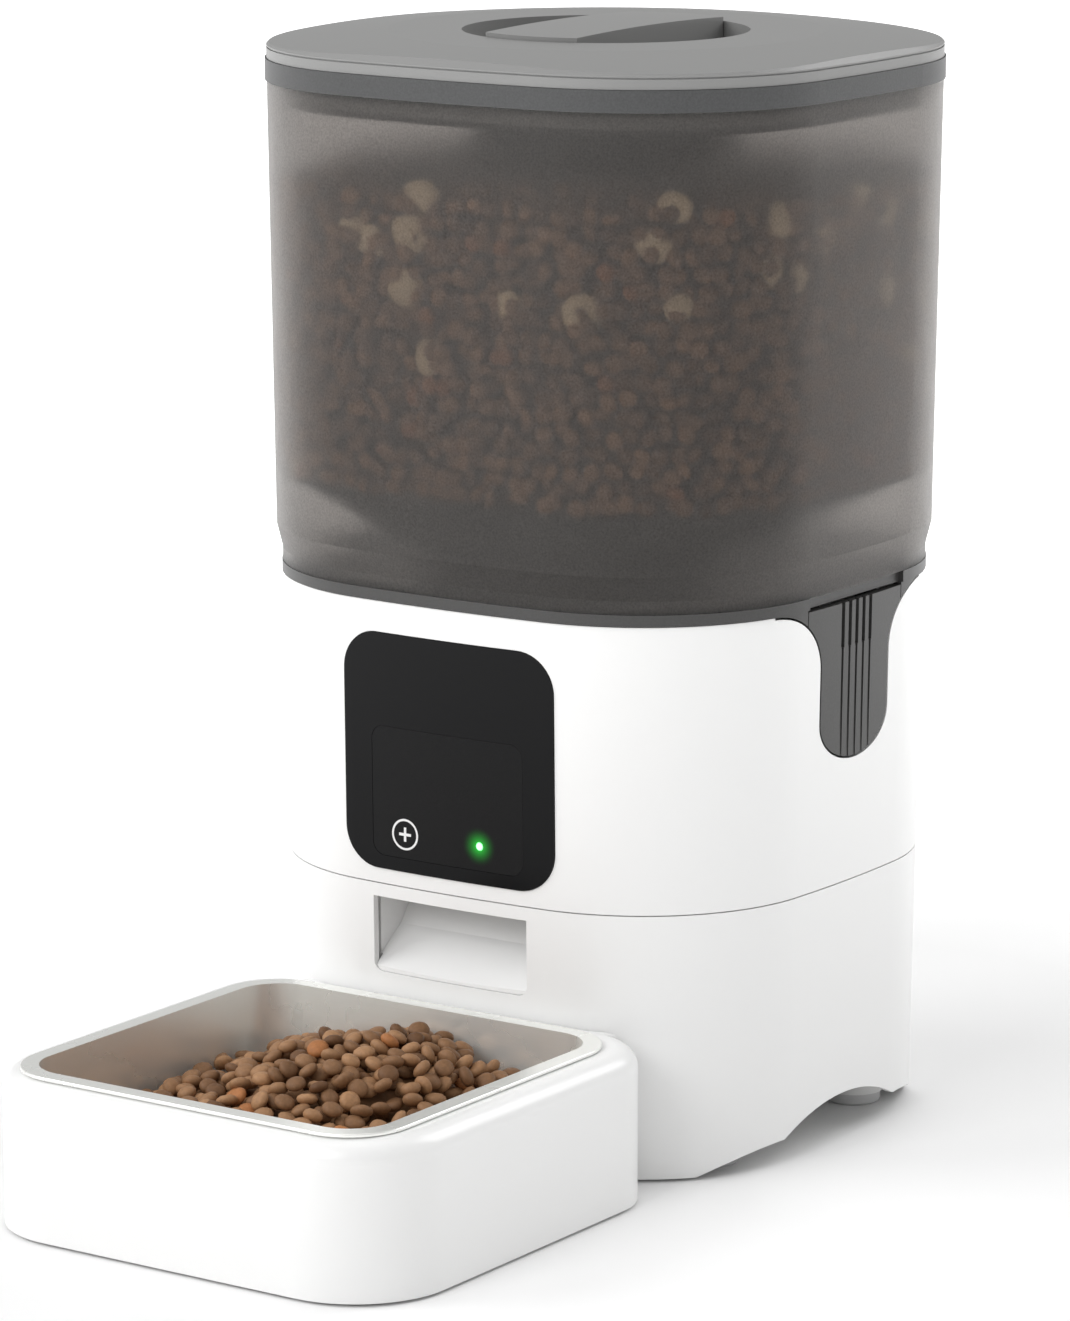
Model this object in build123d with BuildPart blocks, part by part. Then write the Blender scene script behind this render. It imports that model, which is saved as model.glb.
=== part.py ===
from build123d import *
import os
from math import asin, atan, cos, degrees, pi, radians, sin, sqrt

os.makedirs("parts", exist_ok=True)

# Automatic pet feeder with a food tank, a metered rotor and a detachable bowl.
# Millimetres, +Z up, front towards -Y. The origin lies on the ground in the middle of the
# overall box, so the housing's own centre stands BODY_Y behind it.

# ---- Driving dimensions ----------------------------------------------------------------

# Housing outline: a rounded square whose four sides bow outwards
HALF_X = 95.0            # half width at the deck
HALF_Y = 90.0            # half depth at the deck
SIDE_R = 479.0           # radius of the bowed sides
CORNER_R = 62.4
GROUND_INSET = 2.75      # the housing is this much slimmer at the ground than at the deck
WALL = 2.5

# Heights
SKIRT_Z = 1.0            # lower edge of the white skirt
COVER_Z = 16.0           # underside of the bottom cover
COVER_T = 3.0
SEAM_Z = 86.2            # joint between lower and upper housing
SEAM_GAP = 0.4           # fine groove that shows there
DECK_Z = 178.0           # top of the upper housing
DECK_T = 3.5
COLLAR_Z = 178.3         # underside of the tank's collar
TANK_Z = 182.0
SHOULDER_Z = 186.3
WAIST_Z = 194.0          # top of the tank's shoulder
RIM_Z = 336.7            # lower edge of the tank's rim band
LID_Z = 343.6            # lid rests here
BEVEL_Z = 347.8
TOP_Z = 354.2

# Outward growth of the outline over its size at the deck
TANK_GROW = 0.5
WAIST_GROW = 2.4
MOUTH_GROW = 4.3
RIM_GROW = 4.9
LID_GROW = 4.4

# Bowl unit
BOWL_FRONT = 233.5       # from the housing centre to the front of the bowl base
BOWL_HALF_X = 79.0
BOWL_TOP = 50.0
BOWL_CORNER_R = 31.3
BOWL_BACK = 82.0         # rear edge of the bowl base, cut to the housing's bow
BOWL_REAR_R = 24.0
STEEL_HALF_X = 70.0
STEEL_FRONT = 228.5
STEEL_BACK = 91.5
STEEL_DEPTH = 36.0
STEEL_T = 0.8

BODY_Y = (BOWL_FRONT - HALF_Y - RIM_GROW) / 2

# Feeding drive
ROTOR_Y = -22.0          # rotor axis, from the housing centre
CHAMBER_R = 48.5
FLOOR_Z = 122.0          # upper face of the chamber floor
FLOOR_T = 2.5
VANE_COUNT = 6
VANE_TIP_R = 47.7
VANE_TOP = 166.0
SHAFT_R = 3.0
RUNNING = 0.05           # radial clearance of a running fit
GEAR_MODULE = 0.8
OUTPUT_TEETH = 44
WHEEL_TEETH = 40
PINION_TEETH = 16
BACKLASH = 0.24
IDLER_Y = ROTOR_Y + GEAR_MODULE * (OUTPUT_TEETH + PINION_TEETH) / 2
MOTOR_Y = IDLER_Y + GEAR_MODULE * (WHEEL_TEETH + PINION_TEETH) / 2
GEARBOX_Z = 88.0
GEARBOX_TOP = 103.0

# Front panel and chute
PANEL_HALF_X = 40.0
PANEL_LOW, PANEL_HIGH = 91.5, 168.0
PANEL_CORNER_R = 13.0
PAD_HALF_X = 28.8
PAD_LOW, PAD_HIGH = 96.0, 138.0
BUTTON_X, LED_X, CONTROL_Z = -16.0, 12.6, 103.8
BUTTON_R = 5.0
MOUTH_HALF_X = 29.5
MOUTH_LOW, MOUTH_HIGH = 57.3, 82.0

# Side latches
TONGUE_HALF_Y = 20.0
TONGUE_TIP_Z = 127.0
TONGUE_TOP_Z = 177.4
TONGUE_TIP_RISE = 13.0   # height of the tongue's round tip
TONGUE_Y = 1.5           # tongue's middle, from the housing's centre
TONGUE_SPLIT = 27.8      # half width of the moving part of the flare
TONGUE_T = 3.0
FLARE_Z = 158.0          # the flare starts here and runs out level at the deck
FLARE_RUN = 24.0
PIN_X, PIN_Z, PIN_R = 89.0, 172.5, 1.5

# Lid
RECESS_R = 45.95
BAR_WIDTH = 34.6
RECESS_FLOOR = 338.5
BOLT_TRAVEL = 4.2        # for a quarter turn of the knob
DOME_R = 1012.0

# Battery bay, for three D cells lying front to back
CELL_R, CELL_LENGTH = 17.1, 61.5
BAY_HALF_X, BAY_FRONT, BAY_BACK = 53.5, 0.0, 73.0
BAY_TOP = 57.0


# ---- Shared planes and outlines --------------------------------------------------------


def level(z, x=0.0, y=0.0):
    """Horizontal plane, placed from the housing's centre."""
    return Plane(origin=(x, BODY_Y + y, z))


def facing(y, x=0.0, z=0.0):
    """Upright plane seen from the front: local x runs right, local y runs up."""
    return Plane(origin=(x, BODY_Y + y, z), x_dir=(1, 0, 0), z_dir=(0, -1, 0))


def flank(x, y=0.0, z=0.0):
    """Upright plane seen from the right: local x runs back, local y runs up."""
    return Plane(origin=(x, BODY_Y + y, z), x_dir=(0, 1, 0), z_dir=(1, 0, 0))


def taper(z):
    """Growth of the white housing's outline at a height, nothing at the deck."""
    return -GROUND_INSET * (DECK_Z - z) / DECK_Z


def outline(grow):
    """Rounded square with bowed sides: four wide discs in common, corners rounded."""
    reach_x = SIDE_R - HALF_X
    reach_y = SIDE_R - HALF_Y
    with BuildSketch() as shape:
        with Locations((reach_x, 0)):
            Circle(SIDE_R + grow)
        for centre in ((-reach_x, 0), (0, reach_y), (0, -reach_y)):
            with Locations(centre):
                Circle(SIDE_R + grow, mode=Mode.INTERSECT)
        fillet(shape.vertices(), CORNER_R + grow)
    return shape.sketch


def block(low, low_grow, high, high_grow):
    """Solid between the outline drawn at two heights."""
    with BuildPart() as solid:
        with BuildSketch(level(low)):
            add(outline(low_grow))
        with BuildSketch(level(high)):
            add(outline(high_grow))
        loft(ruled=True)
    return solid.part


def housing_block(low, high, inset):
    """Part of the white housing's volume, moved inwards by an inset."""
    return block(low, taper(low) - inset, high, taper(high) - inset)


def round_bar(low, high, x, y, radius):
    """Upright cylinder between two heights."""
    with BuildPart() as bar:
        with BuildSketch(level(low, x, y)):
            Circle(radius)
        extrude(amount=high - low)
    return bar.part


def box_between(x, y, z):
    """Box given by its (low, high) pairs, from the housing's centre."""
    with BuildPart() as solid:
        with BuildSketch(level(z[0], (x[0] + x[1]) / 2, (y[0] + y[1]) / 2)):
            Rectangle(x[1] - x[0], y[1] - y[0])
        extrude(amount=z[1] - z[0])
    return solid.part


def gear_outline(teeth, phase):
    """Spur gear with involute flanks, each an arc through three points of the involute."""
    pitch_r = GEAR_MODULE * teeth / 2
    base_r = pitch_r * cos(radians(20))
    tip_r = pitch_r + 0.9 * GEAR_MODULE
    root_r = min(pitch_r - 1.25 * GEAR_MODULE, base_r - 0.1)

    def involute(radius):
        roll = sqrt(max((radius / base_r) ** 2 - 1, 0))
        return roll - atan(roll)

    half_tooth = pi / (2 * teeth) - BACKLASH / (4 * pitch_r)
    radii = [base_r, (base_r + tip_r) / 2, tip_r]
    leans = [half_tooth + involute(pitch_r) - involute(radius) for radius in radii]
    foot = leans[0]

    def polar(radius, angle):
        return (radius * cos(angle), radius * sin(angle))

    with BuildSketch() as gear:
        with BuildLine():
            for tooth in range(teeth):
                middle = phase + 2 * pi * tooth / teeth
                following = middle + 2 * pi / teeth
                rise = [polar(r, middle - a) for r, a in zip(radii, leans)]
                fall = [polar(r, middle + a) for r, a in zip(radii, leans)]
                Line(polar(root_r, middle - foot), rise[0])
                ThreePointArc(*rise)
                Line(rise[2], fall[2])
                ThreePointArc(*reversed(fall))
                Line(fall[0], polar(root_r, middle + foot))
                Line(polar(root_r, middle + foot), polar(root_r, following - foot))
        make_face()
    return gear.sketch


def tongue_outline(gap):
    """Latch tongue seen from the side: oval tip, straight sides, flare that runs out level."""
    half = TONGUE_HALF_Y + gap
    tip_centre = TONGUE_TIP_Z + TONGUE_TIP_RISE
    flare_end = TONGUE_HALF_Y + FLARE_RUN
    flare_rise = DECK_Z - FLARE_Z - gap
    top = DECK_Z + 5
    with BuildSketch() as shape:
        with BuildLine():
            Line((half, tip_centre), (half, FLARE_Z))
            EllipticalCenterArc((flare_end, FLARE_Z), FLARE_RUN - gap, flare_rise, 90, arc_size=90)
            Polyline(
                (flare_end, FLARE_Z + flare_rise), (flare_end, top), (0, top), (0, TONGUE_TIP_Z - gap)
            )
            EllipticalCenterArc((0, tip_centre), half, TONGUE_TIP_RISE + gap, 270, arc_size=90)
        make_face()
        mirror(about=Plane.YZ)
    return shape.sketch


# ---- Lower housing ---------------------------------------------------------------------

ARCH_HALF = 66.0         # half length of the side arch at the ground
ARCH_RISE = 16.0
SLOT_X = 40.0            # slots for the bowl unit's hooks
HOOK_HALF, HOOK_LOW, HOOK_HIGH = 6.0, 11.0, 14.0
JACK_Z = 68.0
CLEAR = 0.4              # gap round parts that come off


def arch_outline():
    """Bell-shaped arch: two tangent arcs each side."""
    run = ARCH_HALF / 2
    rise = ARCH_RISE / 2
    radius = (run**2 + rise**2) / (2 * rise)
    with BuildSketch() as shape:
        with BuildLine():
            crown = CenterArc((0, ARCH_RISE - radius), radius, 90, -degrees(asin(run / radius)))
            RadiusArc(crown @ 1, (ARCH_HALF, 0), radius)
            Polyline((ARCH_HALF, 0), (ARCH_HALF, -5), (0, -5), (0, ARCH_RISE))
        make_face()
        mirror(about=Plane.YZ)
    return shape.sketch


def mouth_outline(gap=0.0):
    """Chute mouth: square upper corners, small radii below."""
    height = MOUTH_HIGH - MOUTH_LOW + 2 * gap
    with BuildSketch() as shape:
        with Locations((0, (MOUTH_HIGH + MOUTH_LOW) / 2)):
            Rectangle(2 * (MOUTH_HALF_X + gap), height)
        fillet(shape.vertices().group_by(Axis.Y)[0], 3.5 + gap)
    return shape.sketch


with BuildPart() as lower_housing:
    add(housing_block(SKIRT_Z, SEAM_Z, 0))
    add(housing_block(SKIRT_Z, SEAM_Z, WALL), mode=Mode.SUBTRACT)
    with BuildSketch(flank(0)):
        add(arch_outline())
    extrude(amount=HALF_X + 10, both=True, mode=Mode.SUBTRACT)
    with BuildSketch(facing(-HALF_Y + 15)):
        add(mouth_outline())
    extrude(amount=30, mode=Mode.SUBTRACT)
    # slots that the bowl unit's hooks enter
    with BuildSketch(facing(-HALF_Y + 15)):
        with Locations((-SLOT_X, (HOOK_LOW + HOOK_HIGH) / 2), (SLOT_X, (HOOK_LOW + HOOK_HIGH) / 2)):
            Rectangle(2 * (HOOK_HALF + CLEAR), HOOK_HIGH - HOOK_LOW + 2 * CLEAR)
    extrude(amount=30, mode=Mode.SUBTRACT)
    # hole for the power inlet
    with BuildSketch(facing(HALF_Y + 5)):
        with Locations((0, JACK_Z)):
            Circle(4.2)
    extrude(amount=15, mode=Mode.SUBTRACT)
    # ledge that the bottom cover bears against
    add(housing_block(COVER_Z + COVER_T, COVER_Z + COVER_T + 2, WALL - 0.1))
    add(housing_block(COVER_Z + COVER_T, COVER_Z + COVER_T + 2, WALL + 3), mode=Mode.SUBTRACT)
lower_housing.part.label = "lower_housing"
export_step(lower_housing.part, "parts/lower_housing.step")

# ---- Upper housing ---------------------------------------------------------------------

POST_X, POST_Y, POST_R = 62.0, 55.0, 4.5
POCKET_X = 83.5          # back of the pocket behind each tongue
POCKET_SKIN = 2.2
NOTCH_GAP = 0.7
PANEL_SINK = 1.4         # depth of the panel's recess
PANEL_PROUD = 0.5


def post_locations(z):
    """Planes of the four screw posts."""
    return [level(z, sx * POST_X, sy * POST_Y) for sx in (-1, 1) for sy in (-1, 1)]


def panel_outline(gap=0.0):
    """Control panel seen from the front."""
    with BuildSketch() as shape:
        with Locations((0, (PANEL_LOW + PANEL_HIGH) / 2)):
            RectangleRounded(
                2 * (PANEL_HALF_X + gap), PANEL_HIGH - PANEL_LOW + 2 * gap, PANEL_CORNER_R + gap
            )
    return shape.sketch


def pocket_hollow(side):
    """Room behind a latch tongue, open at the deck, inside the housing's skin."""
    edges = sorted((side * POCKET_X, side * (HALF_X + 5)))
    with BuildPart() as hollow:
        add(box_between(edges, (-33.5, 33.5), (123.5, DECK_Z + 1)))
        add(housing_block(120, DECK_Z + 2, POCKET_SKIN), mode=Mode.INTERSECT)
    return hollow.part


def front_slab(shape, outer_inset, inner_inset):
    """Slab with a front outline that follows the housing's bowed front face."""
    with BuildPart() as slab:
        with BuildSketch(facing(-HALF_Y + 20)):
            add(shape)
        extrude(amount=40)
        add(housing_block(SEAM_Z - 5, DECK_Z, outer_inset), mode=Mode.INTERSECT)
        add(housing_block(SEAM_Z - 10, DECK_Z + 5, inner_inset), mode=Mode.SUBTRACT)
    return slab.part


with BuildPart() as upper_housing:
    add(housing_block(SEAM_Z + SEAM_GAP, DECK_Z, 0))
    add(housing_block(SEAM_Z, DECK_Z - DECK_T, WALL), mode=Mode.SUBTRACT)
    # lip that centres the lower housing at the seam
    add(housing_block(SEAM_Z - 3.5, SEAM_Z + 3, WALL + 0.2))
    add(housing_block(SEAM_Z + SEAM_GAP, SEAM_Z + 3, WALL - 0.5))
    add(housing_block(SEAM_Z - 3.5, SEAM_Z + 3, WALL + 1.8), mode=Mode.SUBTRACT)
    # closed pockets behind the two latch tongues, open above
    for side in (-1, 1):
        edges = sorted((side * (POCKET_X - WALL), side * (HALF_X - 1.5)))
        add(box_between(edges, (-36, 36), (121, DECK_Z - 1)))
    add(housing_block(SEAM_Z - 3.5, DECK_Z, 0), mode=Mode.INTERSECT)
    for side in (-1, 1):
        add(pocket_hollow(side), mode=Mode.SUBTRACT)
        with BuildSketch(flank(side * (HALF_X - 8), TONGUE_Y)):
            add(tongue_outline(NOTCH_GAP))
        extrude(amount=side * 20, mode=Mode.SUBTRACT)
    # round opening that the rotor chamber fills
    add(round_bar(DECK_Z - 10, DECK_Z + 5, 0, ROTOR_Y, CHAMBER_R + 2.1), mode=Mode.SUBTRACT)
    # recess of the control panel, with holes for the button and the light pipe
    add(front_slab(panel_outline(0.15), -5, PANEL_SINK), mode=Mode.SUBTRACT)
    with BuildSketch(facing(-HALF_Y + 12)):
        with Locations((BUTTON_X, CONTROL_Z)):
            Circle(BUTTON_R + 2)
        with Locations((LED_X, CONTROL_Z)):
            Circle(1.9)
    extrude(amount=20, mode=Mode.SUBTRACT)
    # posts that the bottom cover is screwed to
    for plane in post_locations(COVER_Z + COVER_T):
        with BuildSketch(plane):
            Circle(POST_R)
        extrude(amount=DECK_Z - DECK_T - COVER_Z - COVER_T + 0.5)
        with BuildSketch(plane):
            Circle(1.6)
        extrude(amount=16, mode=Mode.SUBTRACT)
upper_housing.part.label = "upper_housing"
export_step(upper_housing.part, "parts/upper_housing.step")

# ---- Bottom cover with its battery bay ---------------------------------------------------

FOOT_X, FOOT_Y, FOOT_R = 70.0, 43.0, 9.0
FOOT_T = 4.0
DOOR_T = 2.0
DOOR_GAP = 0.3
HINGE_Z = COVER_Z + 1.5
HINGE_R = 1.5


with BuildPart() as bottom_cover:
    add(housing_block(COVER_Z, COVER_Z + COVER_T, WALL + 0.25))
    for sx in (-1, 1):
        for sy in (-1, 1):
            add(round_bar(FOOT_T, COVER_Z, sx * FOOT_X, sy * FOOT_Y, FOOT_R + 1))
    # bay walls and roof stand on the plate
    add(
        box_between(
            (-BAY_HALF_X - 1.5, BAY_HALF_X + 1.5),
            (BAY_FRONT - 1.5, BAY_BACK + 1.5),
            (COVER_Z, BAY_TOP + 1.5),
        )
    )
    add(
        box_between((-BAY_HALF_X, BAY_HALF_X), (BAY_FRONT, BAY_BACK), (COVER_Z - 1, BAY_TOP)),
        mode=Mode.SUBTRACT,
    )
    # rebate that the door closes into
    add(
        box_between(
            (-BAY_HALF_X - 1, BAY_HALF_X + 1), (BAY_FRONT - 1, BAY_BACK + 1), (COVER_Z - 1, COVER_Z + 2.3)
        ),
        mode=Mode.SUBTRACT,
    )
    # the plate again beside the hinge ears
    for side in (-1, 1):
        edges = sorted((side * 35.4, side * (BAY_HALF_X + 1.2)))
        add(box_between(edges, (BAY_BACK - 5.3, BAY_BACK + 1.2), (COVER_Z, COVER_Z + COVER_T)))
    # counterbored holes for the screws
    for plane in post_locations(COVER_Z - 1):
        with BuildSketch(plane):
            Circle(1.9)
        extrude(amount=COVER_T + 2, mode=Mode.SUBTRACT)
        with BuildSketch(plane):
            Circle(3.6)
        extrude(amount=2.2, mode=Mode.SUBTRACT)
    # ears that hold the door's hinge pin, behind the rear edge of the bay
    for side in (-1, 1):
        edges = sorted((side * 30.4, side * 34))
        add(box_between(edges, (BAY_BACK - 5.5, BAY_BACK + 1), (COVER_Z + 0.2, COVER_Z + 4.6)))
        with BuildSketch(flank(side * 29, BAY_BACK - 3, COVER_Z + 2.2)):
            Circle(HINGE_R)
        extrude(amount=side * 6, mode=Mode.SUBTRACT)
bottom_cover.part.label = "bottom_cover"
export_step(bottom_cover.part, "parts/bottom_cover.step")

with BuildPart() as rubber_feet:
    for sx in (-1, 1):
        for sy in (-1, 1):
            with BuildSketch(level(0, sx * FOOT_X, sy * FOOT_Y)):
                Circle(FOOT_R)
            extrude(amount=FOOT_T)
    chamfer(rubber_feet.faces().group_by(Axis.Z)[0].edges(), 0.8)
rubber_feet.part.label = "rubber_feet"
export_step(rubber_feet.part, "parts/rubber_feet.step")

with BuildPart() as cover_screws:
    for plane in post_locations(COVER_Z - 0.7):
        with BuildSketch(plane):
            Circle(3.2)
        extrude(amount=1.8)
        with BuildSketch(plane):
            RegularPolygon(1.2, 6)
        extrude(amount=1.2, mode=Mode.SUBTRACT)
    for plane in post_locations(COVER_Z + 1.1):
        with BuildSketch(plane):
            Circle(1.5)
        extrude(amount=16)
cover_screws.part.label = "cover_screws"
export_step(cover_screws.part, "parts/cover_screws.step")

# Battery door: a plate with a knuckle along its rear edge and a finger notch in front
with BuildPart() as battery_door:
    add(
        box_between(
            (-BAY_HALF_X - 1 + DOOR_GAP, BAY_HALF_X + 1 - DOOR_GAP),
            (BAY_FRONT - 1 + DOOR_GAP, BAY_BACK - 6.5),
            (COVER_Z, COVER_Z + DOOR_T),
        )
    )
    with BuildSketch(flank(-29.8, BAY_BACK - 3, COVER_Z + 2.2)):
        Circle(3.0)
    extrude(amount=59.6)
    add(box_between((-29.8, 29.8), (BAY_BACK - 7, BAY_BACK - 3), (COVER_Z, COVER_Z + DOOR_T)))
    with BuildSketch(flank(-35, BAY_BACK - 3, COVER_Z + 2.2)):
        Circle(HINGE_R + RUNNING)
    extrude(amount=70, mode=Mode.SUBTRACT)
    with BuildSketch(level(COVER_Z - 1, 0, BAY_FRONT + 8)):
        SlotOverall(24, 8)
    extrude(amount=1.8, mode=Mode.SUBTRACT)
battery_door.part.label = "battery_door"
export_step(battery_door.part, "parts/battery_door.step")

with BuildPart() as door_pin:
    with BuildSketch(flank(-33.5, BAY_BACK - 3, COVER_Z + 2.2)):
        Circle(HINGE_R)
    extrude(amount=67)
door_pin.part.label = "door_pin"
export_step(door_pin.part, "parts/door_pin.step")

CELL_PITCH = 2 * CELL_R + 0.6
CELL_Z = 38.5
CELL_FRONT = BAY_FRONT + 5.5

with BuildPart() as battery_cells:
    for cell in (-1, 0, 1):
        with BuildSketch(facing(CELL_FRONT + CELL_LENGTH, cell * CELL_PITCH, CELL_Z)):
            Circle(CELL_R)
        extrude(amount=CELL_LENGTH)
    chamfer(battery_cells.edges().filter_by(GeomType.CIRCLE), 1.2)
    for cell in (-1, 0, 1):
        with BuildSketch(facing(CELL_FRONT + CELL_LENGTH, cell * CELL_PITCH, CELL_Z)):
            Circle(4.6)
        extrude(amount=-1.4)
battery_cells.part.label = "battery_cells"
export_step(battery_cells.part, "parts/battery_cells.step")

with BuildPart() as battery_contacts:
    for cell in (-1, 0, 1):
        x = cell * CELL_PITCH
        add(box_between((x - 9, x + 9), (BAY_FRONT, BAY_FRONT + 0.6), (CELL_Z - 9, CELL_Z + 9)))
        add(box_between((x - 9, x + 9), (BAY_BACK - 0.6, BAY_BACK), (CELL_Z - 9, CELL_Z + 9)))
        with BuildSketch(facing(CELL_FRONT - 0.3, x, CELL_Z)):
            Circle(6)
            Circle(4.8, mode=Mode.SUBTRACT)
        extrude(amount=4.6)
battery_contacts.part.label = "battery_contacts"
export_step(battery_contacts.part, "parts/battery_contacts.step")

# ---- Control panel -----------------------------------------------------------------------

PAD_SINK = 0.4


def pad_outline(gap=0.0):
    """Matt inlay seen from the front."""
    with BuildSketch() as shape:
        with Locations((0, (PAD_LOW + PAD_HIGH) / 2)):
            RectangleRounded(2 * (PAD_HALF_X + gap), PAD_HIGH - PAD_LOW + 2 * gap, 4.5 + gap)
    return shape.sketch


def control_holes(button_r, pipe_r):
    """Holes for the button and the light pipe, seen from the front."""
    with BuildSketch() as shape:
        with Locations((BUTTON_X, CONTROL_Z)):
            Circle(button_r)
        with Locations((LED_X, CONTROL_Z)):
            Circle(pipe_r)
    return shape.sketch


with BuildPart() as control_panel:
    add(front_slab(panel_outline(), -PANEL_PROUD, PANEL_SINK))
    add(front_slab(pad_outline(0.1), -5, PAD_SINK), mode=Mode.SUBTRACT)
    with BuildSketch(facing(-HALF_Y + 12)):
        add(control_holes(BUTTON_R + 0.15, 1.45))
    extrude(amount=20, mode=Mode.SUBTRACT)
control_panel.part.label = "control_panel"
export_step(control_panel.part, "parts/control_panel.step")

with BuildPart() as panel_pad:
    add(front_slab(pad_outline(), -PANEL_PROUD + 0.08, PAD_SINK))
    with BuildSketch(facing(-HALF_Y + 12)):
        add(control_holes(BUTTON_R + 0.15, 1.45))
    extrude(amount=20, mode=Mode.SUBTRACT)
panel_pad.part.label = "panel_pad"
export_step(panel_pad.part, "parts/panel_pad.step")

FACE_Y = HALF_Y + taper(CONTROL_Z)       # housing front at the controls
BUTTON_FRONT = FACE_Y + 0.15
FLANGE_FRONT = FACE_Y - PANEL_SINK - 0.9
BUTTON_TRAVEL = 0.8
BOARD_FRONT = FACE_Y - 9.0
BOARD_T = 1.6
SWITCH_FRONT = FLANGE_FRONT - 2.6

with BuildPart() as feed_button:
    with BuildSketch(facing(-FLANGE_FRONT, BUTTON_X, CONTROL_Z)):
        Circle(BUTTON_R)
    extrude(amount=BUTTON_FRONT - FLANGE_FRONT)
    chamfer(feed_button.faces().sort_by(Axis.Y)[0].edges(), 0.15)
    with BuildSketch(facing(-FLANGE_FRONT, BUTTON_X, CONTROL_Z)):
        Circle(BUTTON_R + 1)
    extrude(amount=-0.8)
    with BuildSketch(facing(-FLANGE_FRONT + 0.8, BUTTON_X, CONTROL_Z)):
        Circle(2.5)
    extrude(amount=-0.9)
feed_button.part.label = "feed_button"
export_step(feed_button.part, "parts/feed_button.step")

with BuildPart() as status_led:
    with BuildSketch(facing(-BOARD_FRONT - 3.4, LED_X, CONTROL_Z)):
        Circle(1.4)
    extrude(amount=BUTTON_FRONT - BOARD_FRONT - 3.4)
    fillet(status_led.faces().sort_by(Axis.Y)[0].edges(), 0.4)
status_led.part.label = "status_led"
export_step(status_led.part, "parts/status_led.step")

with BuildPart() as panel_board:
    add(box_between((-33, 33), (-BOARD_FRONT, -BOARD_FRONT + BOARD_T), (96, 164)))
    for dx in (-29, 29):
        for z in (99, 161):
            with BuildSketch(facing(-BOARD_FRONT + BOARD_T, dx, z)):
                Circle(1.6)
            extrude(amount=BOARD_T, mode=Mode.SUBTRACT)
    # tact switch under the button, lamp under the light pipe, display driver above
    add(
        box_between(
            (BUTTON_X - 3, BUTTON_X + 3), (-SWITCH_FRONT + 0.9, -BOARD_FRONT), (CONTROL_Z - 3, CONTROL_Z + 3)
        )
    )
    with BuildSketch(facing(-BOARD_FRONT, BUTTON_X, CONTROL_Z)):
        Circle(1.7)
    extrude(amount=SWITCH_FRONT - BOARD_FRONT)
    with BuildSketch(facing(-BOARD_FRONT, LED_X, CONTROL_Z)):
        Circle(1.5)
    extrude(amount=3.2)
    add(box_between((-5, 5), (-BOARD_FRONT - 1.4, -BOARD_FRONT), (140, 150)))
panel_board.part.label = "panel_board"
export_step(panel_board.part, "parts/panel_board.step")

# ---- Power inlet and main board ------------------------------------------------------------

with BuildPart() as power_jack:
    jack_face = HALF_Y + taper(JACK_Z) - 1.0
    add(box_between((-5, 5), (jack_face - 15, jack_face - 1.7), (JACK_Z - 6, JACK_Z + 6)))
    with BuildSketch(facing(jack_face, 0, JACK_Z)):
        Circle(4.0)
    extrude(amount=5)
    with BuildSketch(facing(jack_face, 0, JACK_Z)):
        Circle(2.9)
    extrude(amount=11, mode=Mode.SUBTRACT)
    with BuildSketch(facing(jack_face - 1, 0, JACK_Z)):
        Circle(1.0)
    extrude(amount=11)
power_jack.part.label = "power_jack"
export_step(power_jack.part, "parts/power_jack.step")

with BuildPart() as main_board:
    add(box_between((-38, 38), (70, 71.6), (92, 160)))
    add(box_between((-8, 8), (68.4, 70), (118, 134)))
    add(box_between((14, 30), (66, 70), (140, 152)))
    add(box_between((-31, -21), (64, 70), (96, 106)))
    for x in (-28, -16):
        with BuildSketch(facing(70, x, 146)):
            Circle(5)
        extrude(amount=11)
main_board.part.label = "main_board"
export_step(main_board.part, "parts/main_board.step")

# ---- Chute -----------------------------------------------------------------------------

CHUTE_T = 2.0
LIP_RUN, LIP_SINK = 10.0, 0.6
CHUTE_HALF_X = MOUTH_HALF_X + 0.6
CHUTE_TOP_Z = FLOOR_Z - FLOOR_T - 0.1
DROP_BACK, DROP_FRONT = ROTOR_Y - 12.0, ROTOR_Y - 46.0
KNEE_Y, KNEE_Z = -72.0, 69.5


def chute_side(grow):
    """Side view of the chute's passage: a steep drop, then a gentler run to the mouth."""
    with BuildSketch() as shape:
        with BuildLine():
            Polyline(
                (DROP_BACK, CHUTE_TOP_Z + 5),
                (DROP_BACK, CHUTE_TOP_Z),
                (KNEE_Y, KNEE_Z),
                (-HALF_Y - 4, MOUTH_LOW - 3.5),
                (-HALF_Y - 4, MOUTH_HIGH),
                (-84, MOUTH_HIGH),
                (-74, 90),
                (DROP_FRONT, CHUTE_TOP_Z),
                (DROP_FRONT, CHUTE_TOP_Z + 5),
                close=True,
            )
        make_face()
        if grow:
            offset(amount=grow, kind=Kind.INTERSECTION)
    return shape.sketch


with BuildPart() as chute:
    with BuildSketch(flank(0)):
        add(chute_side(CHUTE_T))
    extrude(amount=CHUTE_HALF_X + CHUTE_T, both=True)
    with BuildSketch(flank(0)):
        add(chute_side(0))
    extrude(amount=CHUTE_HALF_X, both=True, mode=Mode.SUBTRACT)
    # trimmed to the underside of the chamber floor and to the inside of the front wall
    add(housing_block(MOUTH_LOW - 8, CHUTE_TOP_Z, WALL + 2.1), mode=Mode.INTERSECT)
    # lip that carries the floor out through the mouth
    with BuildPart(mode=Mode.PRIVATE) as lip:
        with BuildSketch(facing(-HALF_Y + LIP_RUN)):
            add(mouth_outline(-0.15))
        extrude(amount=LIP_RUN + 5)
        add(housing_block(MOUTH_LOW - 8, SEAM_Z, LIP_SINK), mode=Mode.INTERSECT)
        with BuildSketch(flank(0)):
            add(chute_side(0))
        extrude(amount=CHUTE_HALF_X, both=True, mode=Mode.SUBTRACT)
    add(lip.part)
chute.part.label = "chute"
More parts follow.
